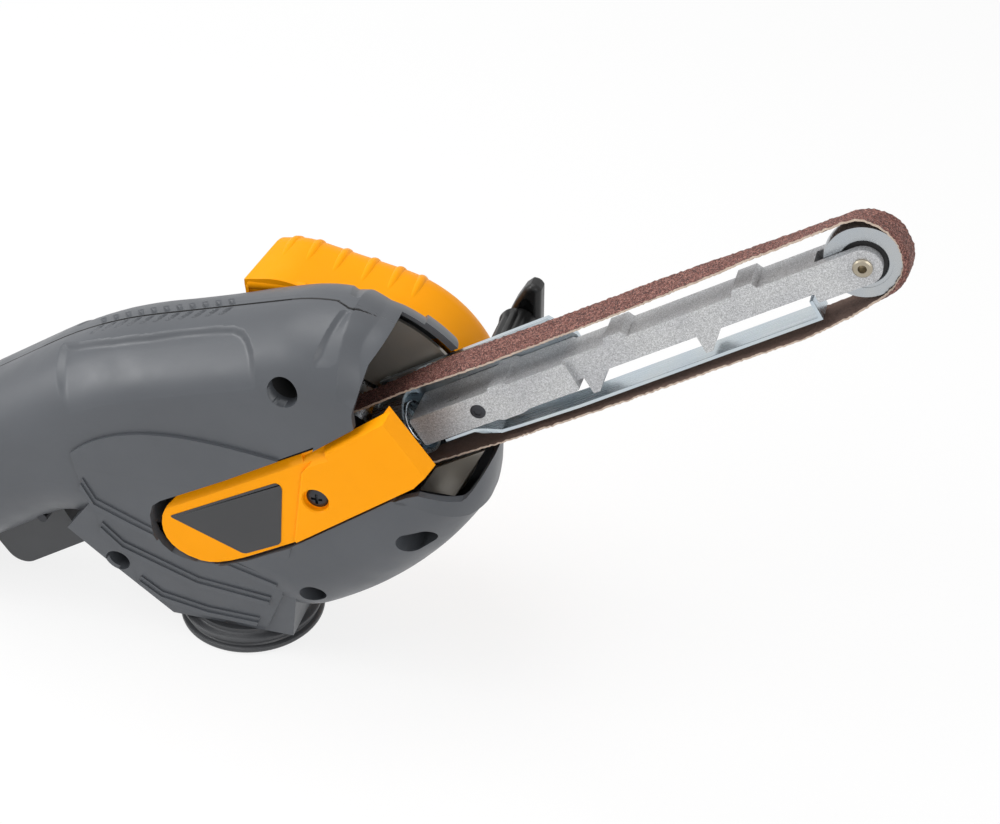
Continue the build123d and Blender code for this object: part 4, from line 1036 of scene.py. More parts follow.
    def paint_seam_shade(self, half: Piece, side: Side) -> None:
        """Paints shade, in black rubber's colour, on the walls of the parting groove and of the deep screw
        seat, which lie in shadow.

        Args:
            half: the half of the housing.
            side: which half.
        """
        # Black rubber's colour is painted shade here, not a part.
        half.data.materials.append(Stock.of("black_rubber"))
        for face in half.data.polygons:
            x, y, z = face.center / MM
            near_seat = math.dist((x, z), self.seat[:2]) < self.seat[2] + 0.1
            deep = near_seat and self.seat_shade_y[0] < y < self.seat_shade_y[1]
            top = z > self.top_z or measured(GRIP_AT, GRIP_PITCH, x, z)[1] > self.top_t
            near_seam = abs(abs(y) - self.line(x, side)) < self.seam_reach
            # Faces that get painted shade: deep in the seat, or steep walls of the groove on top.
            if deep or (top and near_seam and abs(face.normal.y) > self.seam_steep):
                face.material_index = 1

    def line(self, x: float, side: Side) -> float:
        """Distance of the parting groove from the middle."""
        return -follow(x, self.groove) if side is Side.RIGHT else 0.0

    def spine(self) -> list[Spot]:
        """Stations along the top outline: x, z and slope.

        Returns:
            The stations, from the grip to the mouth.
        """
        lean, tilt = math.radians(GRIP_PITCH), math.radians(self.crown_tilt)
        top, (hx, hz) = self.grip_top, HEAD_AT
        crown = (hx - self.head_r * math.sin(tilt), hz + self.head_r * math.cos(tilt))
        rise = (crown[1] - top[1]) * math.cos(lean) - (crown[0] - top[0]) * math.sin(lean)
        reach = rise / math.sin(tilt - lean)
        meet = (crown[0] - reach * math.cos(tilt), crown[1] - reach * math.sin(tilt))
        radius = self.bend / math.tan((lean - tilt) / 2)
        lead = self.bend + self.lead
        x, z, slope = meet[0] - lead * math.cos(lean), meet[1] - lead * math.sin(lean), lean
        walk = ((self.lead, 0.0), (radius * (lean - tilt), -1 / radius), (reach - self.bend, 0.0),
                (self.head_r * math.radians(self.crown_arc), -1 / self.head_r))
        stations = []
        for length, curl in walk:
            count = max(1, round(length / self.step))
            stride = length / count
            for _ in range(count):
                stations.append((x, z, slope))
                middle = slope + curl * stride / 2
                x, z = x + stride * math.cos(middle), z + stride * math.sin(middle)
                slope += curl * stride
        return stations

    def columns(self) -> list[Spot]:
        """Lines across the skin: distance round the edge, distance from the middle and turn.

        Returns:
            The lines, from the middle outwards.
        """
        count = round(CREST / self.fine) + 2
        strides = [self.fine * k for k in range(count)]
        flat_part = [(-CREST - self.fine + stride, -self.fine + stride, 0.0) for stride in strides]
        arc = [self.coarse * (k + 1) for k in range(round(self.skin_round / self.coarse))]
        turns = [v / EDGE_R for v in arc]
        return flat_part + [(v, CREST + EDGE_R * math.sin(t), t) for v, t in zip(arc, turns)]

    def border_distance(self, x: float, v: float) -> float:
        """Distance to the flank's border, positive inside it.

        Args:
            x: place along the tool.
            v: distance round the rounded edge.

        Returns:
            The distance in millimetres.
        """
        best, inside = 1e9, False
        ring = list(self.flank)
        open_end = ring[0][1]
        for (x0, v0), (x1, v1) in zip(ring, ring[1:] + ring[:1]):
            if (v0 > v) != (v1 > v) and x < x0 + (v - v0) * (x1 - x0) / (v1 - v0):
                inside = not inside
            if v0 >= open_end and v1 >= open_end:
                continue
            share = ((x - x0) * (x1 - x0) + (v - v0) * (v1 - v0)) / ((x1 - x0) ** 2 + (v1 - v0) ** 2)
            share = min(1.0, max(0.0, share))
            best = min(best, math.hypot(x - x0 - share * (x1 - x0), v - v0 - share * (v1 - v0)))
        return best if inside else -best

    def depth(self, x: float, y: float, v: float, side: Side) -> float:
        """Depth of the relief at one point.

        Args:
            x: place along the tool.
            y: distance from the middle.
            v: distance round the rounded edge.
            side: which half.

        Returns:
            Depth in millimetres, negative above the skin.
        """
        sunk = -self.clear
        border = self.border_distance(x, v)
        if border > -1.0:
            fade = ease(v, *self.flank_fade)
            flank = self.flank_depth * ease(border / self.flank_band) * fade
            sunk = max(sunk, flank - self.clear * ease(-border) - self.clear * ease(v, *self.flank_out))
        if side is Side.RIGHT or x < self.left_groove_end:
            sunk = max(sunk, self.groove_depth - self.groove_slope * abs(y - self.line(x, side)))
        low, high = self.notch_y
        if self.notch_span[0] < x < self.notch_span[1] and low < y < high:
            phase = ((x + self.notch_slant * y) / self.notch_pitch) % 1.0
            ends = min(1.0, (y - low) / self.notch_end, (high - y) / self.notch_end)
            notch = self.notch_depth * ends * (1.0 - abs(phase - 0.5) / self.notch_half)
            sunk = max(sunk, notch - self.notch_offset)
        collar = self.collar(x, y) * ease(v, *self.collar_fade)
        return max(sunk, collar - self.clear * ease(v, *self.collar_out))

    def collar(self, x: float, y: float) -> float:
        """Depth of the collar's crease and facets.

        Args:
            x: place along the tool.
            y: distance from the middle.

        Returns:
            Depth in millimetres.
        """
        back, front = follow(y, self.facet_back), follow(y, self.facet_front)
        if x > back:
            rise, reach = self.facet_rise
            slope = self.facet_depth * min(1.0, (x - back) / (front - back))
            return slope - rise * ease((x - front) / reach)
        fold = follow(y, self.crease)
        weight = ease(y, *self.crease_start) * ease(y, *self.crease_end)
        if x > fold:
            return self.crease_depth * weight * (back - x) / (back - fold) - self.clear * (1 - weight)
        near = max(0.0, 1 - (fold - x) / self.crease_back)
        return (self.crease_depth + self.clear) * weight * near - self.clear

    def cutter(self, side: Side) -> Piece:
        """Builds the relief as a thick sheet that lies on the skin.

        Args:
            side: which half.

        Returns:
            The cutting solid.
        """
        rows, lines = self.spine(), self.columns()
        bpy.ops.object.select_all(action="DESELECT")
        bpy.ops.mesh.primitive_grid_add(x_subdivisions=len(lines) - 1, y_subdivisions=len(rows) - 1, size=1.0)
        sheet = bpy.context.object
        sheet.name = f"relief_{side.name.lower()}"
        with Bench.opened(sheet):
            bpy.ops.mesh.extrude_region_move(TRANSFORM_OT_translate={"value": (0, 0, 1)})
        for vertex in sheet.data.vertices:
            x, z, slope = rows[round((vertex.co.y + 0.5) * (len(rows) - 1))]
            v, y, turn = lines[round((vertex.co.x + 0.5) * (len(lines) - 1))]
            nx, nz = -math.sin(slope), math.cos(slope)
            drop = EDGE_R * (1 - math.cos(turn))
            px, pz = x - nx * drop, z - nz * drop
            sunk = self.depth(px, y, v, side) if vertex.co.z < 0.5 else -self.cover
            vertex.co = Vector((px - sunk * nx * math.cos(turn), side.value * (y - sunk * math.sin(turn)),
                                pz - sunk * nz * math.cos(turn))) * MM
        return Bench.close(sheet, 0.0)


@dataclass
class BeltCover:
    """Yellow cover over the pulley, with its step, sloped upper edge, screw seat and bare label."""

    outline: Points = (
        (70.2, 132.5), (86.8, 109.8), (79.7, 100.5), (31.4, 63.4), (11.3, 51.6), (4.5, 48.2),
        (-0.4, 46.4), (-4.0, 45.7), (-7.5, 45.7), (-12.5, 47.0), (-16.2, 48.9), (-18.9, 51.3),
        (-20.8, 54.2), (-21.8, 57.6), (-22.0, 61.0), (-21.4, 65.0), (-19.6, 69.2), (-15.5, 74.0),
        (36.3, 104.6), (42.9, 108.6), (67.8, 128.5))
    front: Points = (
        (31.9, 65.8), (36.4, 97.6), (44.0, 108.3), (67.8, 128.5), (70.2, 132.5), (86.8, 109.8),
        (79.7, 100.5), (33.0, 64.6))
    label: Points = ((-18.6, 65.2), (26.4, 90.9), (28.4, 89.0), (26.2, 61.6), (10.9, 53.2))
    # Both ends and the breadth of each sloped edge.
    slopes: Sequence[tuple[Point, Point, float]] = (
        ((-15.5, 74.0), (42.0, 108.0), 4.2), ((42.9, 108.3), (67.8, 128.5), 2.0),
        ((70.2, 132.5), (86.8, 109.8), 4.2))
    middle: Point = (32.0, 86.0)
    screw_at: Spot = (41.7, -27.4, 86.4)
    seat: Points = ((0, 0), (5.0, 0), (5.0, 1.8), (6.2, 3.6), (6.2, 8.0), (0, 8.0))
    screw_head: Points = ((0, 0), (4.3, 0), (4.3, 0.7), (3.6, 1.3), (2.0, 1.7), (0, 1.8))
    cross: Point = (4.4, 1.1)
    step_round: float = 2.2
    edge_round: float = 0.55
    label_thick: float = 0.35
    label_sunk: float = 0.1
    label_corner: float = 1.5
    slope_reach: float = 1.55
    slope_lead: float = 8.0
    slope_longer: float = 12.0
    slope_beyond: float = 6.0
    back_y: float = 25.6
    label_y: float = 28.4
    face_y: float = 29.8

    def build(self) -> None:
        """Builds the cover and its label."""
        rise = self.label_y - self.back_y
        cover = Bench.prism("belt_cover_shell", flat(self.outline, -self.back_y), (0, -rise, 0))
        base = self.back_y + 0.2
        block = Bench.prism("cover_front", flat(self.front, -base), (0, base - self.face_y, 0))
        Bench.round_edges(block, self.step_round, lambda p, q: self.on_step(p) and self.on_step(q), 4)
        Bench.cut(cover, block, "UNION")
        for start, end, width in self.slopes:
            self.slope_edge(cover, start, end, width)
        Bench.soften(cover, self.edge_round, 30.0, 3)
        Bench.cut(cover, Bench.turned("seat", self.seat, Vector(self.screw_at) * MM, (0, -1, 0)))
        Bench.hand_over(cover, Body.HOUSING, "yellow_plastic", "belt_cover")
        self.screw()
        spots = flat(self.label, -self.label_y + self.label_sunk)
        film = Bench.prism("bare_label", spots, (0, -self.label_thick, 0), self.label_corner)
        Bench.soften(film, 0.12, 60.0, 1)
        Bench.hand_over(film, Body.HOUSING, "label_film", "label_plate")

    def screw(self) -> None:
        """Turns the domed screw head and cuts its cross."""
        centre = Vector(self.screw_at) * MM - Vector((0, -0.6, 0)) * MM
        head = Bench.turned("cover_screw_head", self.screw_head, centre, (0, -1, 0), steps=48)
        for wide, tall in (self.cross, self.cross[::-1]):
            corners = ((-1, -1), (1, -1), (1, 1), (-1, 1))
            spots = [centre + Vector((x * wide / 2, -0.7, z * tall / 2)) * MM for x, z in corners]
            Bench.cut(head, Bench.prism("cross", spots, (0, -4.0, 0)))
        Bench.hand_over(head, Body.HOUSING, "screw_steel", "belt_cover_screw")

    def on_step(self, point: Vector) -> bool:
        """Whether a point lies on the step's upper edge.

        Args:
            point: the point in millimetres.

        Returns:
            Whether it does.
        """
        (x0, z0), (x1, z1) = self.front[:2]
        x = x0 + (x1 - x0) * (point.z - z0) / (z1 - z0)
        return abs(point.x - x) < 0.6 and point.y < -self.label_y - 0.5

    def slope_edge(self, cover: Piece, start: Point, end: Point, width: float) -> None:
        """Planes a slope along one edge.

        Args:
            cover: the cover.
            start: one end of the edge in side view.
            end: the other end.
            width: breadth of the slope in millimetres.
        """
        run = Vector((end[0] - start[0], 0, end[1] - start[1]))
        along = run.normalized()
        inward = Vector((along.z, 0, -along.x))
        half_way = Vector(((start[0] + end[0]) / 2, 0, (start[1] + end[1]) / 2))
        if inward.dot(Vector((self.middle[0], 0, self.middle[1])) - half_way) < 0:
            inward = -inward
        foot = Vector((start[0], -self.back_y - 0.3, start[1])) - along * self.slope_lead - inward * 0.05
        tip = foot + Vector((0, -self.face_y + self.back_y - 1.5, 0)) + inward * width * self.slope_reach
        back = tip - inward * (width * self.slope_reach + self.slope_beyond)
        corners = [spot * MM for spot in (foot, tip, back, foot - inward * self.slope_beyond)]
        Bench.cut(cover, Bench.prism("wedge", corners, tuple(along * (run.length + self.slope_longer))))


@dataclass
class AbrasiveBelt:
    """Endless cloth belt with coarse grit: it bows off the arm, runs askew to the nose and curls in there."""

    pulley_r: float = 14.6
    roller_r: float = 13.6
    distance: float = NOSE_A
    width: float = 11.5
    thick: float = 0.75
    pitch: float = 0.85
    across: int = 25
    grit: float = 0.3
    curl: float = 0.16
    snug: float = 0.2
    rim_rough: float = 1.3
    fray: float = 0.35
    seed: int = 11
    # Place along the arm, and Y of the near edge.
    near_y: Points = ((60, -6.0), (210, -4.5))
    # Place along the arm, and lift of the near and far edge, on the upper and the lower run.
    near_top: Points = (
        (0, 0), (30, 1.0), (45, 1.4), (60, 0.9), (80, 0.2), (105, 0.3), (130, 0.4), (146, 0.7),
        (175, 1.35), (187, 2.05), (205, 2.1), (220, 2.4))
    far_top: Points = (
        (0, 0), (30, 1.2), (60, 2.6), (85, 2.3), (110, 1.6), (150, 1.35), (168, 0.9), (186, 0.1),
        (204, -0.3), (220, -0.6))
    near_low: Points = (
        (0, 0), (37, -0.2), (50, 0.6), (68, 1.6), (85, 2.2), (110, 2.9), (143, 3.2), (180, 3.8),
        (190, 4.0), (198, 3.2), (208, 2.1), (217, 0.3), (220, -0.5))
    far_low: Points = ((0, 0), (60, 0.6), (110, 1.5), (180, 1.5), (220, 1.0))
    # Turn round the nose in degrees, and lift of the near and far edge.
    nose_near: Points = (
        (-90, -0.6), (-72, -1.6), (-54, -2.0), (-20, -1.9), (-3, -1.5), (12, -0.7), (26, -0.1), (42, 0.7),
        (56, 1.7), (68, 2.5), (90, 2.4))
    nose_far: Points = ((-90, 1.0), (-50, 1.4), (-28, 0.8), (-4, 0.0), (24, 0.2), (90, -0.5))

    def build(self) -> None:
        """Builds the belt and gives it grit outside, cloth inside darkened with painted shade, and a cut rim.
        """
        track = self.track()
        bpy.ops.object.select_all(action="DESELECT")
        bpy.ops.mesh.primitive_grid_add(x_subdivisions=self.across - 1, y_subdivisions=len(track) - 1,
                                        size=1.0)
        belt = bpy.context.object
        belt.name = belt.data.name = "abrasive_belt"
        chance = random.Random(self.seed)
        for index, vertex in enumerate(belt.data.vertices):
            a, w, out, start, near, far = track[index // self.across]
            share = (index % self.across) / (self.across - 1)
            rim = share in (0.0, 1.0)
            held = max(near, self.snug)
            lift = held + (far - held) * share + (near - held) * max(0.0, 1 - share / self.curl) ** 2
            lift += self.grit * (chance.random() - 0.3) * (self.rim_rough if rim else 1.0)
            y = start + self.width * share + (self.fray * (chance.random() - 0.5) if rim else 0.0)
            vertex.co = arm(a + lift * math.cos(out), w + lift * math.sin(out), y)
        last = len(belt.data.vertices) - self.across
        for index in range(self.across):
            belt.data.vertices[last + index].co = belt.data.vertices[index].co
        Bench.close(belt, 0.01)
        self.face_out(belt)
        for finish in ("abrasive_cloth", "belt_backing_painted_shade", "belt_rim"):
            belt.data.materials.append(Stock.of(finish))
        Bench.apply(belt, "SOLIDIFY", thickness=self.thick * MM, offset=-1.0, material_offset=1,
                    material_offset_rim=2)
        Bench.hand_over(belt, Body.HOUSING, "abrasive_cloth", "sanding_belt", angle=80.0)

    @staticmethod
    def face_out(belt: Piece) -> None:
        """Turns the loop's faces away from the arm.

        Args:
            belt: the belt's loop.
        """
        face = max(belt.data.polygons, key=lambda p: p.center.x)
        if face.normal.x < 0:
            with Bench.opened(belt):
                bpy.ops.mesh.flip_normals()

    def track(self) -> list[tuple[float, ...]]:
        """Stations round the loop: place, direction outwards, near edge's Y and the lift of both edges.

        Returns:
            The stations, from the pulley's top round the nose and back.
        """
        big, small = self.pulley_r + self.thick, self.roller_r + self.thick
        stations = []
        count = round(self.distance / self.pitch)
        for k in range(count):
            a = self.distance * k / count
            stations.append((a, big + (small - big) * k / count, math.pi / 2, follow(a, self.near_y),
                             follow(a, self.near_top), follow(a, self.far_top)))
        bend = round(math.pi * small / self.pitch)
        for k in range(bend):
            turn = 90.0 - 180.0 * k / bend
            lean = math.radians(turn)
            stations.append((self.distance + small * math.cos(lean), small * math.sin(lean), lean,
                             self.near_y[-1][1], follow(turn, self.nose_near), follow(turn, self.nose_far)))
        for k in range(count):
            a = self.distance * (1 - k / count)
            stations.append((a, -small + (small - big) * k / count, -math.pi / 2, follow(a, self.near_y),
                             follow(a, self.near_low), follow(a, self.far_low)))
        bend = round(math.pi * big / self.pitch)
        for k in range(bend + 1):
            lean = -math.pi / 2 - math.pi * k / bend
            stations.append((big * math.cos(lean), big * math.sin(lean), lean, self.near_y[0][1], 0.0, 0.0))
        return stations


@dataclass
class SideHandle:
    """Yellow handle: CAD shell with a slanted, closed end, a curled lip and low grip ribs."""

    # X, Z and slope in degrees of each rib.
    rib_spots: Sequence[Spot] = (
        (7.5, 145.6, 9.7), (17.3, 145.3, -11.8), (28.2, 143.1, -11.8), (39.3, 140.8, -11.8),
        (49.6, 138.6, -11.8), (58.7, 136.0, -20.8))
    rib_span: Point = (30.0, 57.0)
    rib_r: float = 2.4
    rib_rise: float = 0.95
    rib_sink: float = 1.4
    rib_round: float = 0.3
    rib_cuts: int = 8
    # Y at which the shell's top begins to round, and the radius.
    edge: Point = (48.0, 14.0)
    lip_y: float = 21.0
    lip_end: float = 34.0
    rear_x: float = -1.4
    slant: float = 0.097
    wall: float = 1.5
    wall_inset: float = 0.06
    # Middle and radius of the ball at each end of the lip.
    lip: Sequence[tuple[Spot, float]] = (((1.0, 23.0, 142.0), 2.5), ((22.0, 22.6, 143.6), 1.7))

    def build(self) -> None:
        """Builds shell and ribs."""
        shell = self.shell()
        Bench.hand_over(shell, Body.HOUSING, "yellow_plastic", "side_handle")
        Bench.keep_normals(shell, "side_handle")
        ribs = [self.rib("handle_ribs_0")]
        ribs += [Bench.twin(ribs[0], f"handle_ribs_{number}") for number in range(1, len(self.rib_spots))]
        for rib, (x, z, slope) in zip(ribs, self.rib_spots):
            with Bench.opened(rib):
                bpy.ops.transform.rotate(value=math.radians(slope), orient_axis="Y",
                                         center_override=(0, 0, 0))
                bpy.ops.transform.translate(value=(x * MM, 0, z * MM))
        Bench.hand_over(Bench.join(ribs), Body.HOUSING, "yellow_plastic")

    def shell(self) -> Piece:
        """Cuts the CAD shell back at its rear, walls it up and adds the lip.

        Returns:
            The shell.
        """
        shell = Bench.copy_node("handle_shell", "side_handle")
        corners = ((-20, 100), (self.lip_end, 100), (self.lip_end, 160), (-20, 160))
        Bench.cut(shell, Bench.prism("near", flat(corners, 10.0), (0, self.lip_y - 10.0, 0)))
        rear = Vector((self.rear_x, self.lip_y, 0.0)) * MM
        way = Vector((1.0, -self.slant, 0.0)).normalized()
        self.slice(shell, rear, way)
        walls = [self.partition(shell, "rear_wall", rear, way),
                 self.partition(shell, "near_wall", Vector((0, self.lip_y + 1.0, 0)) * MM, Vector((0, 1, 0)))]
        return Bench.join([shell, *walls, self.curl()])

    @staticmethod
    def slice(piece: Piece, at: Vector, way: Vector) -> None:
        """Takes away what lies behind a plane and closes the cut."""
        with Bench.opened(piece):
            bpy.ops.mesh.bisect(plane_co=at, plane_no=way, use_fill=True, clear_inner=True)

    def partition(self, shell: Piece, name: str, at: Vector, way: Vector) -> Piece:
        """Makes a thin wall that fills the shell's outline.

        Args:
            shell: the hollow shell.
            name: the wall's name.
            at: point on the wall's outer face.
            way: direction into the shell.

        Returns:
            The wall.
        """
        wall = Bench.twin(shell, name)
        with Bench.opened(wall):
            bpy.ops.mesh.convex_hull()
        self.slice(wall, at, way)
        self.slice(wall, at + way * self.wall * MM, -way)
        Bench.close(wall)
        with Bench.opened(wall):
            bpy.ops.transform.shrink_fatten(value=-self.wall_inset * MM)
        return wall

    def curl(self) -> Piece:
        """Shapes the tapered lip along the near edge.

        Returns:
            The lip.
        """
        lip = Bench.join([Bench.ball(Vector(place) * MM, radius, 24, 16) for place, radius in self.lip])
        with Bench.opened(lip):
            bpy.ops.mesh.convex_hull()
        return lip

    def rib(self, name: str) -> Piece:
        """Shapes one rib along Y that sinks away towards its near end.

        Args:
            name: the rib's name.

        Returns:
            The rib, over the frame's origin.
        """
        start, end = self.rib_span
        bpy.ops.object.select_all(action="DESELECT")
        bpy.ops.mesh.primitive_cylinder_add(vertices=20, radius=self.rib_r * MM, depth=(end - start) * MM,
                                            location=(0, 0, 0), rotation=(math.pi / 2, 0, 0))
        rib = bpy.context.object
        rib.name = name
        bpy.ops.object.transform_apply(location=True, rotation=True, scale=True)
        with Bench.opened(rib):
            bpy.ops.mesh.bevel(offset=self.rib_round * MM, segments=2, affect="EDGES")
        with Bench.picked(rib, lambda p, q: (p - q).length > self.rib_r):
            bpy.ops.mesh.subdivide(number_cuts=self.rib_cuts)
        from_y, radius = self.edge
        for vertex in rib.data.vertices:
            share = (vertex.co.y / MM + (end - start) / 2) / (end - start)
            vertex.co.y += (start + end) / 2 * MM
            over = min(radius, max(0.0, vertex.co.y / MM - from_y))
            drop = radius - math.sqrt(radius ** 2 - over ** 2)
            sink = self.rib_sink * max(0.0, 1 - share) ** 1.5
            vertex.co.z += (self.rib_rise - self.rib_r - drop - sink) * MM
        return rib


@dataclass
class WingKnob:
    """Black clamping knob: ribbed hub and one wing with a thumb hollow."""

    seat_y: float = 11.5
    hub_end: float = 48.0
    hub_r: float = 7.5
    base_r: float = 9.5
    wing: Points = (
        (-4.6, -2.0), (-4.2, 5.0), (-1.8, 10.6), (1.6, 16.6), (4.0, 18.8), (7.0, 18.8), (8.2, 16.5),
        (8.2, -2.0), (5.6, -6.0), (0.0, -8.0), (-4.6, -6.0))
    wing_y: Point = (47.6, 56.0)
    hollow_at: Point = (2.6, 7.5)
    hollow_r: Point = (3.0, 5.5)
    hollow_depths: Point = (2.2, 1.8)
    flute_depth: float = 0.9
    flute_every: int = 4
    steps: int = 48

    def build(self) -> None:
        """Builds the knob in one piece."""
        centre = arm(KNOB_A, 0.0)
        foot, end = self.seat_y, self.hub_end
        profile = ((0, foot), (self.base_r, foot), (self.base_r, foot + 5), (self.hub_r, foot + 8),
                   (self.hub_r, end - 3), (self.hub_r + 0.6, end), (0, end + 0.4))
        knob = Bench.turned("knob_with_wing", profile, centre, (0, 1, 0), self.steps)
        self.flute(knob, centre)
        spots = [centre + Vector((x, self.wing_y[0], z)) * MM for x, z in self.wing]
        wing = Bench.prism("wing", spots, (0, self.wing_y[1] - self.wing_y[0], 0))
        Bench.soften(wing, 2.4, 50.0, 5)
        (x, z), (wide, tall) = self.hollow_at, self.hollow_r
        for y, depth in zip(self.wing_y, self.hollow_depths):
            Bench.cut(wing, Bench.ball(centre + Vector((x, y, z)) * MM, 1.0, 32, 20, (wide, depth, tall)))
        Bench.cut(knob, wing, "UNION")
        Bench.hand_over(knob, Body.KNOB, "black_plastic", "wing_knob", angle=40.0)

    def flute(self, knob: Piece, centre: Vector) -> None:
        """Draws every fourth row of the hub's skin inwards, for grip flutes.

        Args:
            knob: the knob.
            centre: point on its axis, in metres.
        """
        for vertex in knob.data.vertices:
            out = Vector((vertex.co.x - centre.x, 0, vertex.co.z - centre.z))
            y = vertex.co.y / MM
            if out.length > (self.hub_r - 1) * MM and self.seat_y + 7 < y < self.hub_end - 1:
                turn = math.degrees(math.atan2(out.z, out.x))
                if round(turn * self.steps / 360.0) % self.flute_every == 0:
                    vertex.co -= out.normalized() * self.flute_depth * MM


@dataclass
class NoseBearing:
    """Ball bearing in the nose roller: bright rings with a dark seal between them."""

    outer_r: float = 9.5
    bore_r: float = 3.05
    half: float = 3.1

    def build(self) -> None:
        """Turns rings and seal."""
        centre = arm(NOSE_A, 0.0)
        h, outer, bore = self.half, self.outer_r - 0.02, self.bore_r
        race = ((outer, -h), (outer, h), (8.2, h), (7.8, h - 0.4), (7.8, -h + 0.4), (8.2, -h))
        core = ((5.2, -h + 0.4), (5.2, h - 0.4), (4.8, h), (bore, h), (bore, -h), (4.8, -h))
        rings = [Bench.turned("race", race, centre, (0, 1, 0)), Bench.turned("core", core, centre, (0, 1, 0))]
        Bench.hand_over(Bench.join(rings), Body.ROLLER, "bearing_steel", "roller_bearing", angle=25.0)
        lip = ((7.85, -h + 0.6), (7.85, h - 0.6), (6.6, h - 0.9), (5.15, h - 0.6), (5.15, -h + 0.6),
               (6.6, -h + 0.9))
        Bench.hand_over(Bench.turned("bearing_seal", lip, centre, (0, 1, 0)), Body.ROLLER, "black_rubber")


@dataclass
class NoseScrew:
    """Screw that carries the roller: small chamfered head with a socket, shank and hexagon nut."""

    profile: Points = (
        (0, 4.2), (1.5, 4.2), (1.5, 7.5), (2.8, 7.5), (3.3, 7.1), (3.3, 6.52), (2.98, 6.52), (2.98, -6.6),
        (0, -6.6))
    nut_r: float = 3.8
    nut_high: float = 2.3

    def build(self) -> None:
        """Turns the screw and sets its nut on."""
        centre = arm(NOSE_A, 0.0)
        screw = Bench.turned("nose_screw", self.profile, centre, (0, -1, 0), steps=48)
        nut = Bench.prism("nut", hexagon(centre, self.nut_r, 6.52), (0, self.nut_high, 0))
        Bench.soften(nut, 0.25)
        Bench.hand_over(Bench.join([screw, nut]), Body.ARM, "axle_brass", "nose_axle", angle=25.0)


@dataclass
class TensionSpring:
    """Coil in the holder's sleeve, which shortens as the arm goes back."""

    ends: Point = (28.2, 40.5)

    def build(self) -> None:
        """Copies the coil, which sits between the sleeve's floor and the arm, and gives it a steel finish."""
        coil = Bench.copy_node("spring_coil", "tension_spring")
        Bench.solo(coil)
        bpy.ops.object.shade_smooth_by_angle(angle=math.radians(45.0))
        coil.data.materials.clear()
        coil.data.materials.append(Stock.of("bearing_steel"))
        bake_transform(coil)
        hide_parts("tension_spring")
        LOG.info("%s: %d faces between housing and arm", coil.name, len(coil.data.polygons))


@dataclass
class DustPort:
    """Dark outlet collar: neck, two rolled rims and a groove for the hose."""

    profile: Points = (
        (21.0, 16.0), (21.0, 0.9), (21.9, 0.0), (27.2, 0.0), (28.4, 0.3), (29.0, 1.0), (29.2, 1.8),
        (28.9, 2.6), (28.2, 3.0), (27.3, 3.1), (26.9, 3.6), (26.9, 4.7), (27.3, 5.2), (28.0, 5.4),
        (28.5, 6.0), (28.4, 6.9), (27.6, 7.5), (26.3, 7.7), (25.6, 8.3), (25.4, 10.0), (23.0, 10.0),
        (23.0, 16.0))

    def build(self) -> None:
        """Turns the collar."""
        collar = Bench.turned("port_collar", self.profile, Vector((0, 0, 0)), (0, 0, 1), steps=96)
        Bench.hand_over(collar, Body.HOUSING, "dark_plastic", "dust_port", angle=35.0)


@dataclass
class CastArm:
    """Cast arm: the CAD bar with softened edges, a ledge on its base and a tool slot."""

    # Places along the arm and square to it.
    ledge: Points = ((75.5, 5.5), (77.0, 7.3), (83.6, 7.3), (86.0, 5.5))
    belly: Points = ((72.0, -5.0), (76.0, -6.7), (84.0, -6.7), (90.0, -5.0))
    slot: Points = ((57.5, 9.0), (62.5, 9.0), (62.5, 4.2), (57.5, 4.2))
    screw_end: Points = ((0, 0), (2.9, 0), (2.9, 0.35), (2.6, 0.5), (0, 0.5))
    slot_y: float = -5.6
    slot_wide: float = 1.4
    edge_round: float = 0.4
    long_edge: float = 4.0
    screw_y: float = -8.7
    hexagon_r: float = 1.7
    half: float = 8.9
    bar_half: float = 6.5

    def build(self) -> None:
        """Builds the arm."""
        bar = Bench.copy_node("cast_arm", "arm")
        for name, points in (("ledge", self.ledge), ("belly", self.belly)):
            spots = [arm(a, w, -self.half) for a, w in points]
            Bench.cut(bar, Bench.prism(name, spots, (0, 2 * self.half, 0)), "UNION")
        spots = [arm(a, w, self.slot_y) for a, w in self.slot]
        Bench.cut(bar, Bench.prism("slot", spots, (0, self.slot_wide, 0)))
        Bench.merge_flats(bar)
        Bench.round_edges(bar, self.edge_round, self.outer_edge, 2)
        Bench.hand_over(bar, Body.ARM, "cast_metal", "arm", angle=25.0)
        self.socket()

    def outer_edge(self, p: Vector, q: Vector) -> bool:
        """Whether an edge is a long one on a side face of base or bar.

        Args:
            p: one end in millimetres.
            q: the other end.

        Returns:
            Whether it is.
        """
        level = any(abs(abs(p.y) - half) < 0.1 and abs(abs(q.y) - half) < 0.1
                    for half in (self.half, self.bar_half))
        return level and p.y * q.y > 0 and (p - q).length > self.long_edge

    def socket(self) -> None:
        """Turns the clamping screw's end and cuts its hexagon."""
        centre = arm(KNOB_A, 0.0, self.screw_y)
        end = Bench.turned("screw_end", self.screw_end, centre, (0, -1, 0), steps=48)
        Bench.cut(end, Bench.prism("hexagon", hexagon(centre, self.hexagon_r, -0.15), (0, -2.0, 0)))
        Bench.hand_over(end, Body.KNOB, "screw_steel")


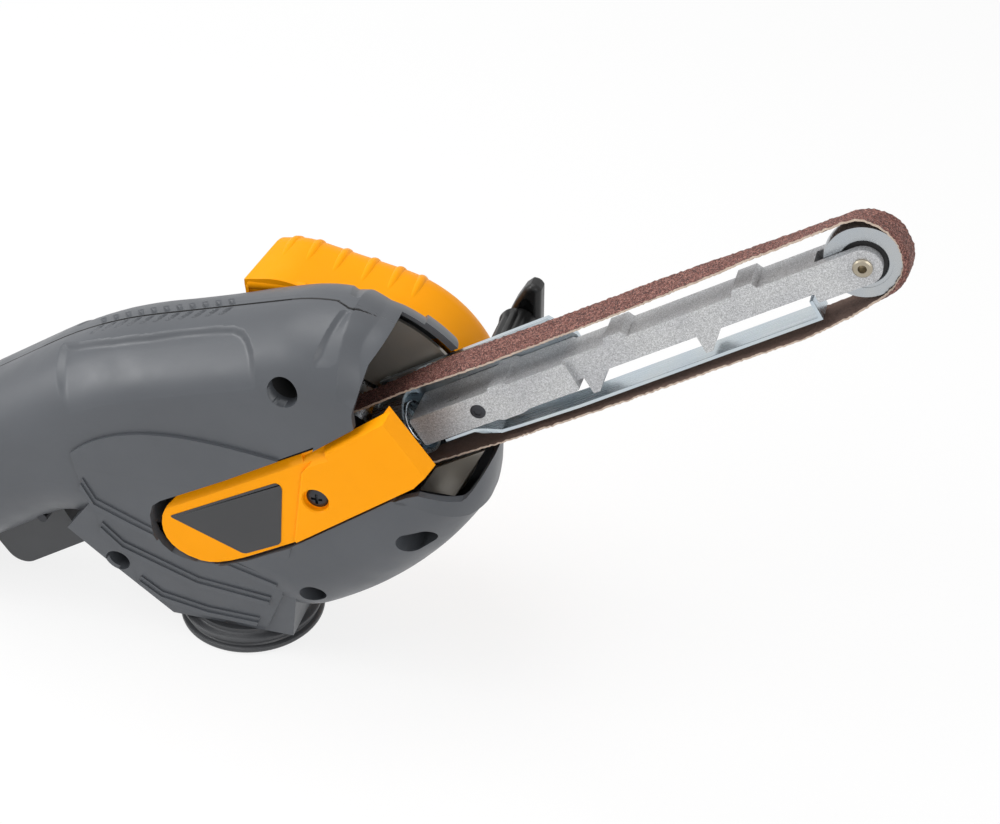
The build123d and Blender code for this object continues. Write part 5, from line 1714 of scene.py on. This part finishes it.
@dataclass
class Platen:
    """Bent steel strip under the arm: wide tab on the base, crank, long run and a turned-up lip."""

    # Places along the arm and square to it.
    profile: Points = (
        (49.7, -5.9), (63.0, -5.9), (66.0, -8.2), (70.3, -11.9), (78.0, -12.3), (103.0, -12.9),
        (197.6, -12.2), (197.6, -5.6), (199.0, -5.6), (199.0, -13.6), (103.0, -14.3), (78.0, -13.7),
        (69.6, -13.3), (64.6, -9.0), (62.4, -7.3), (49.7, -7.3))
    # Place along the arm, and half the strip's width.
    half_widths: Points = ((63.5, 9.1), (69.0, 5.2))

    def build(self) -> None:
        """Bends the strip."""
        strip = Bench.prism("platen_strip", [arm(a, w, -1.0) for a, w in self.profile], (0, 2.0, 0))
        for vertex in strip.data.vertices:
            along = measured(ARM_AT, ARM_PITCH, vertex.co.x / MM, vertex.co.z / MM)[0]
            vertex.co.y *= follow(along, self.half_widths)
        Bench.soften(strip, 0.3, 50.0, 2)
        Bench.hand_over(strip, Body.ARM, "zinc_steel", "platen")


@dataclass
class HeadMouth:
    """Raised rim at the foot of the head's mouth, and the guard plate behind it."""

    flat_r: float = 34.17
    inner_r: float = 26.0
    wall: float = 2.8
    far: float = 8.0
    rim: Points = (
        (72.0, 91.0), (72.0, 92.0), (76.5, 94.8), (80.8, 96.5), (85.6, 95.2), (90.9, 93.2), (95.0, 91.6),
        (96.5, 92.3), (98.7, 95.2), (101.1, 99.0), (102.6, 101.5), (110.0, 101.5), (110.0, 83.0),
        (97.0, 83.0), (80.0, 91.0))
    plate: Points = ((74.0, 80.0), (80.5, 92.0), (99.4, 103.9), (88.0, 80.0))
    plate_y: float = -5.6
    plate_thick: float = 1.2

    def build(self) -> None:
        """Builds rim and plate."""
        centre = Vector((HEAD_AT[0], 0, HEAD_AT[1])) * MM
        lip = Bench.turned("mouth_lip", self.section(), centre, (0, 1, 0), steps=240)
        reach = Bench.prism("reach", flat(self.rim, -OUTSIDE), (0, OUTSIDE + self.far, 0))
        Bench.cut(lip, reach, "INTERSECT")
        Bench.hand_over(lip, Body.HOUSING, "grey_plastic", angle=30.0)
        plate = Bench.prism("mouth_guard", flat(self.plate, self.plate_y), (0, self.plate_thick, 0))
        Bench.soften(plate, 0.3)
        # Its finish carries painted reflection of the yellow cover and belt.
        Bench.hand_over(plate, Body.HOUSING, "zinc_steel", finish="shield_zinc_painted_reflection")

    def section(self) -> list[Point]:
        """Section of the head's skin: radius and Y of each corner.

        Returns:
            The corners, outside and then inside.
        """
        low = -math.pi / 2
        outer = [low + k * math.pi / 48 for k in range(25)]
        last = math.asin((self.far - CREST) / EDGE_R)
        far = [last * k / 4 for k in range(5)]
        rings = []
        for radius in (EDGE_R, EDGE_R - self.wall):
            ring = [(self.inner_r, -CREST - radius)]
            ring += [(self.flat_r + radius * math.cos(t), -CREST + radius * math.sin(t)) for t in outer]
            ring += [(self.flat_r + radius * math.cos(t), CREST + radius * math.sin(t)) for t in far]
            rings.append(ring)
        return rings[0] + rings[1][::-1]


@dataclass
class Controls:
    """Trigger, lock button and cable inlet, with their moulded edges rounded."""

    # CAD node, body, slot and rounding.
    edges: Sequence[tuple[str, Body, str, float]] = (
        ("trigger", Body.TRIGGER, "dark_plastic", 1.6), ("lock_button", Body.LOCK, "dark_plastic", 0.6),
        ("cord_gland", Body.HOUSING, "black_rubber", 0.8))

    def build(self) -> None:
        """Rounds a copy of each CAD piece."""
        for node, body, slot, width in self.edges:
            piece = Bench.copy_node(f"{node}_rounded", node)
            Bench.merge_flats(piece)
            Bench.soften(piece, width, 40.0, 3)
            Bench.hand_over(piece, body, slot, node)


@dataclass
class Studio:
    """White table, soft light and the photograph's camera."""

    camera_at: Spot = (0.26098, -0.57657, 0.55885)
    camera_looks: Spot = (-0.2167, 0.7745, -0.5943)
    lens_mm: float = 73.9
    shift: Point = (0.0103, 0.0023)
    # Name, place, size and power of each soft box.
    boxes: Sequence[tuple[str, Spot, Point, float]] = (
        ("top_box", (-0.3, 0.15, 1.3), (1.1, 0.8), 10.5),
        ("left_box", (-1.2, -0.5, 0.85), (0.9, 0.4), 9.5),
        ("right_box", (0.85, -0.9, 0.6), (0.7, 0.9), 5.0))
    lamps_aim: Spot = (0.03, 0.0, 0.1)
    fill: float = 0.42
    table_glow: float = 0.82
    floor_half: float = 4.0

    def build(self) -> None:
        """Sets camera, lamps, world and floor."""
        self.camera()
        self.lamps()
        self.world()
        self.floor()
        bpy.context.scene.view_settings.view_transform = "Standard"

    def camera(self) -> None:
        """Places the camera as the photograph was taken."""
        data = bpy.data.cameras.new("camera")
        data.sensor_fit = "HORIZONTAL"
        data.sensor_width = 36.0
        data.lens = self.lens_mm
        data.shift_x, data.shift_y = self.shift
        data.clip_start = 0.01
        camera = bpy.data.objects.new("camera", data)
        bpy.context.scene.collection.objects.link(camera)
        camera.location = self.camera_at
        camera.rotation_euler = Vector(self.camera_looks).to_track_quat("-Z", "Y").to_euler()
        bpy.context.scene.camera = camera

    def lamp(self, name: str, at: Spot, size: Point, watts: float) -> None:
        """Hangs one soft box that points at the tool.

        Args:
            name: the lamp's name.
            at: its place.
            size: its width and height.
            watts: its power.
        """
        data = bpy.data.lights.new(name, "AREA")
        data.shape = "RECTANGLE"
        data.size, data.size_y = size
        data.energy = watts
        lamp = bpy.data.objects.new(name, data)
        bpy.context.scene.collection.objects.link(lamp)
        lamp.location = at
        aim = Vector(self.lamps_aim) - Vector(at)
        lamp.rotation_euler = aim.to_track_quat("-Z", "Y").to_euler()

    def lamps(self) -> None:
        """Hangs the three soft boxes."""
        for name, place, size, watts in self.boxes:
            self.lamp(name, place, size, watts)

    @staticmethod
    def seen(tree: bpy.types.NodeTree) -> Socket:
        """1 for rays that show the background: straight, mirrored or through glass.

        Args:
            tree: the node tree that gets the nodes.

        Returns:
            The value.
        """
        path = tree.nodes.new("ShaderNodeLightPath")
        value = path.outputs["Is Camera Ray"]
        for other in ("Is Glossy Ray", "Is Transmission Ray"):
            most = tree.nodes.new("ShaderNodeMath")
            most.operation = "MAXIMUM"
            tree.links.new(value, most.inputs[0])
            tree.links.new(path.outputs[other], most.inputs[1])
            value = most.outputs[0]
        return value

    def world(self) -> None:
        """White surroundings: plain fill light, and white to the eye."""
        world = bpy.data.worlds.new("surroundings")
        bpy.context.scene.world = world
        world.use_nodes = True
        tree = world.node_tree
        back = tree.nodes["Background"]
        back.inputs["Color"].default_value = (1, 1, 1, 1)
        level = tree.nodes.new("ShaderNodeMapRange")
        level.inputs["To Min"].default_value = self.fill
        level.inputs["To Max"].default_value = 1.0
        tree.links.new(self.seen(tree), level.inputs["Value"])
        tree.links.new(level.outputs["Result"], back.inputs["Strength"])

    def floor(self) -> None:
        """White table that keeps a light shadow."""
        bpy.ops.mesh.primitive_plane_add(size=2 * self.floor_half, location=(0, 0, -0.0002))
        floor = bpy.context.object
        floor.name = "table"
        graph = Graph("table_white")
        graph.finish(Base_Color=(0.9, 0.9, 0.9), Roughness=0.9)
        tree = graph.tree
        glow = tree.nodes.new("ShaderNodeEmission")
        glow.inputs["Color"].default_value = (1, 1, 1, 1)
        share = tree.nodes.new("ShaderNodeMath")
        share.operation = "MULTIPLY"
        share.inputs[1].default_value = self.table_glow
        tree.links.new(self.seen(tree), share.inputs[0])
        mix = tree.nodes.new("ShaderNodeMixShader")
        tree.links.new(share.outputs[0], mix.inputs[0])
        tree.links.new(graph.shader.outputs[0], mix.inputs[1])
        tree.links.new(glow.outputs[0], mix.inputs[2])
        tree.links.new(mix.outputs[0], tree.nodes["Material Output"].inputs["Surface"])
        floor.data.materials.append(graph.material)


# Finishes of CAD nodes that differ from those of their record slots.
# The head shield's finish carries painted reflection of the yellow cover and belt.
OWN_FINISH = {"head_shield": "shield_zinc_painted_reflection", "trigger_pin": "screw_steel"}


def dress_nodes() -> None:
    """Gives every carried-over CAD node its procedural finish."""
    for part in frame["record"]["subparts"]:
        node = frame["nodes"][part["node"]]
        finish = OWN_FINISH.get(part["node"], part["material_slot"])
        node.data.materials.clear()
        node.data.materials.append(Stock.of(finish))


def main() -> None:
    """Builds the studio and every piece, in order."""
    Studio().build()
    dress_nodes()
    for assembly in (HousingSkin, HeadMouth, BeltCover, AbrasiveBelt, SideHandle, WingKnob, NoseBearing,
                     NoseScrew, TensionSpring, DustPort, CastArm, Platen, Controls):
        assembly().build()


if __name__ == "__main__":
    main()
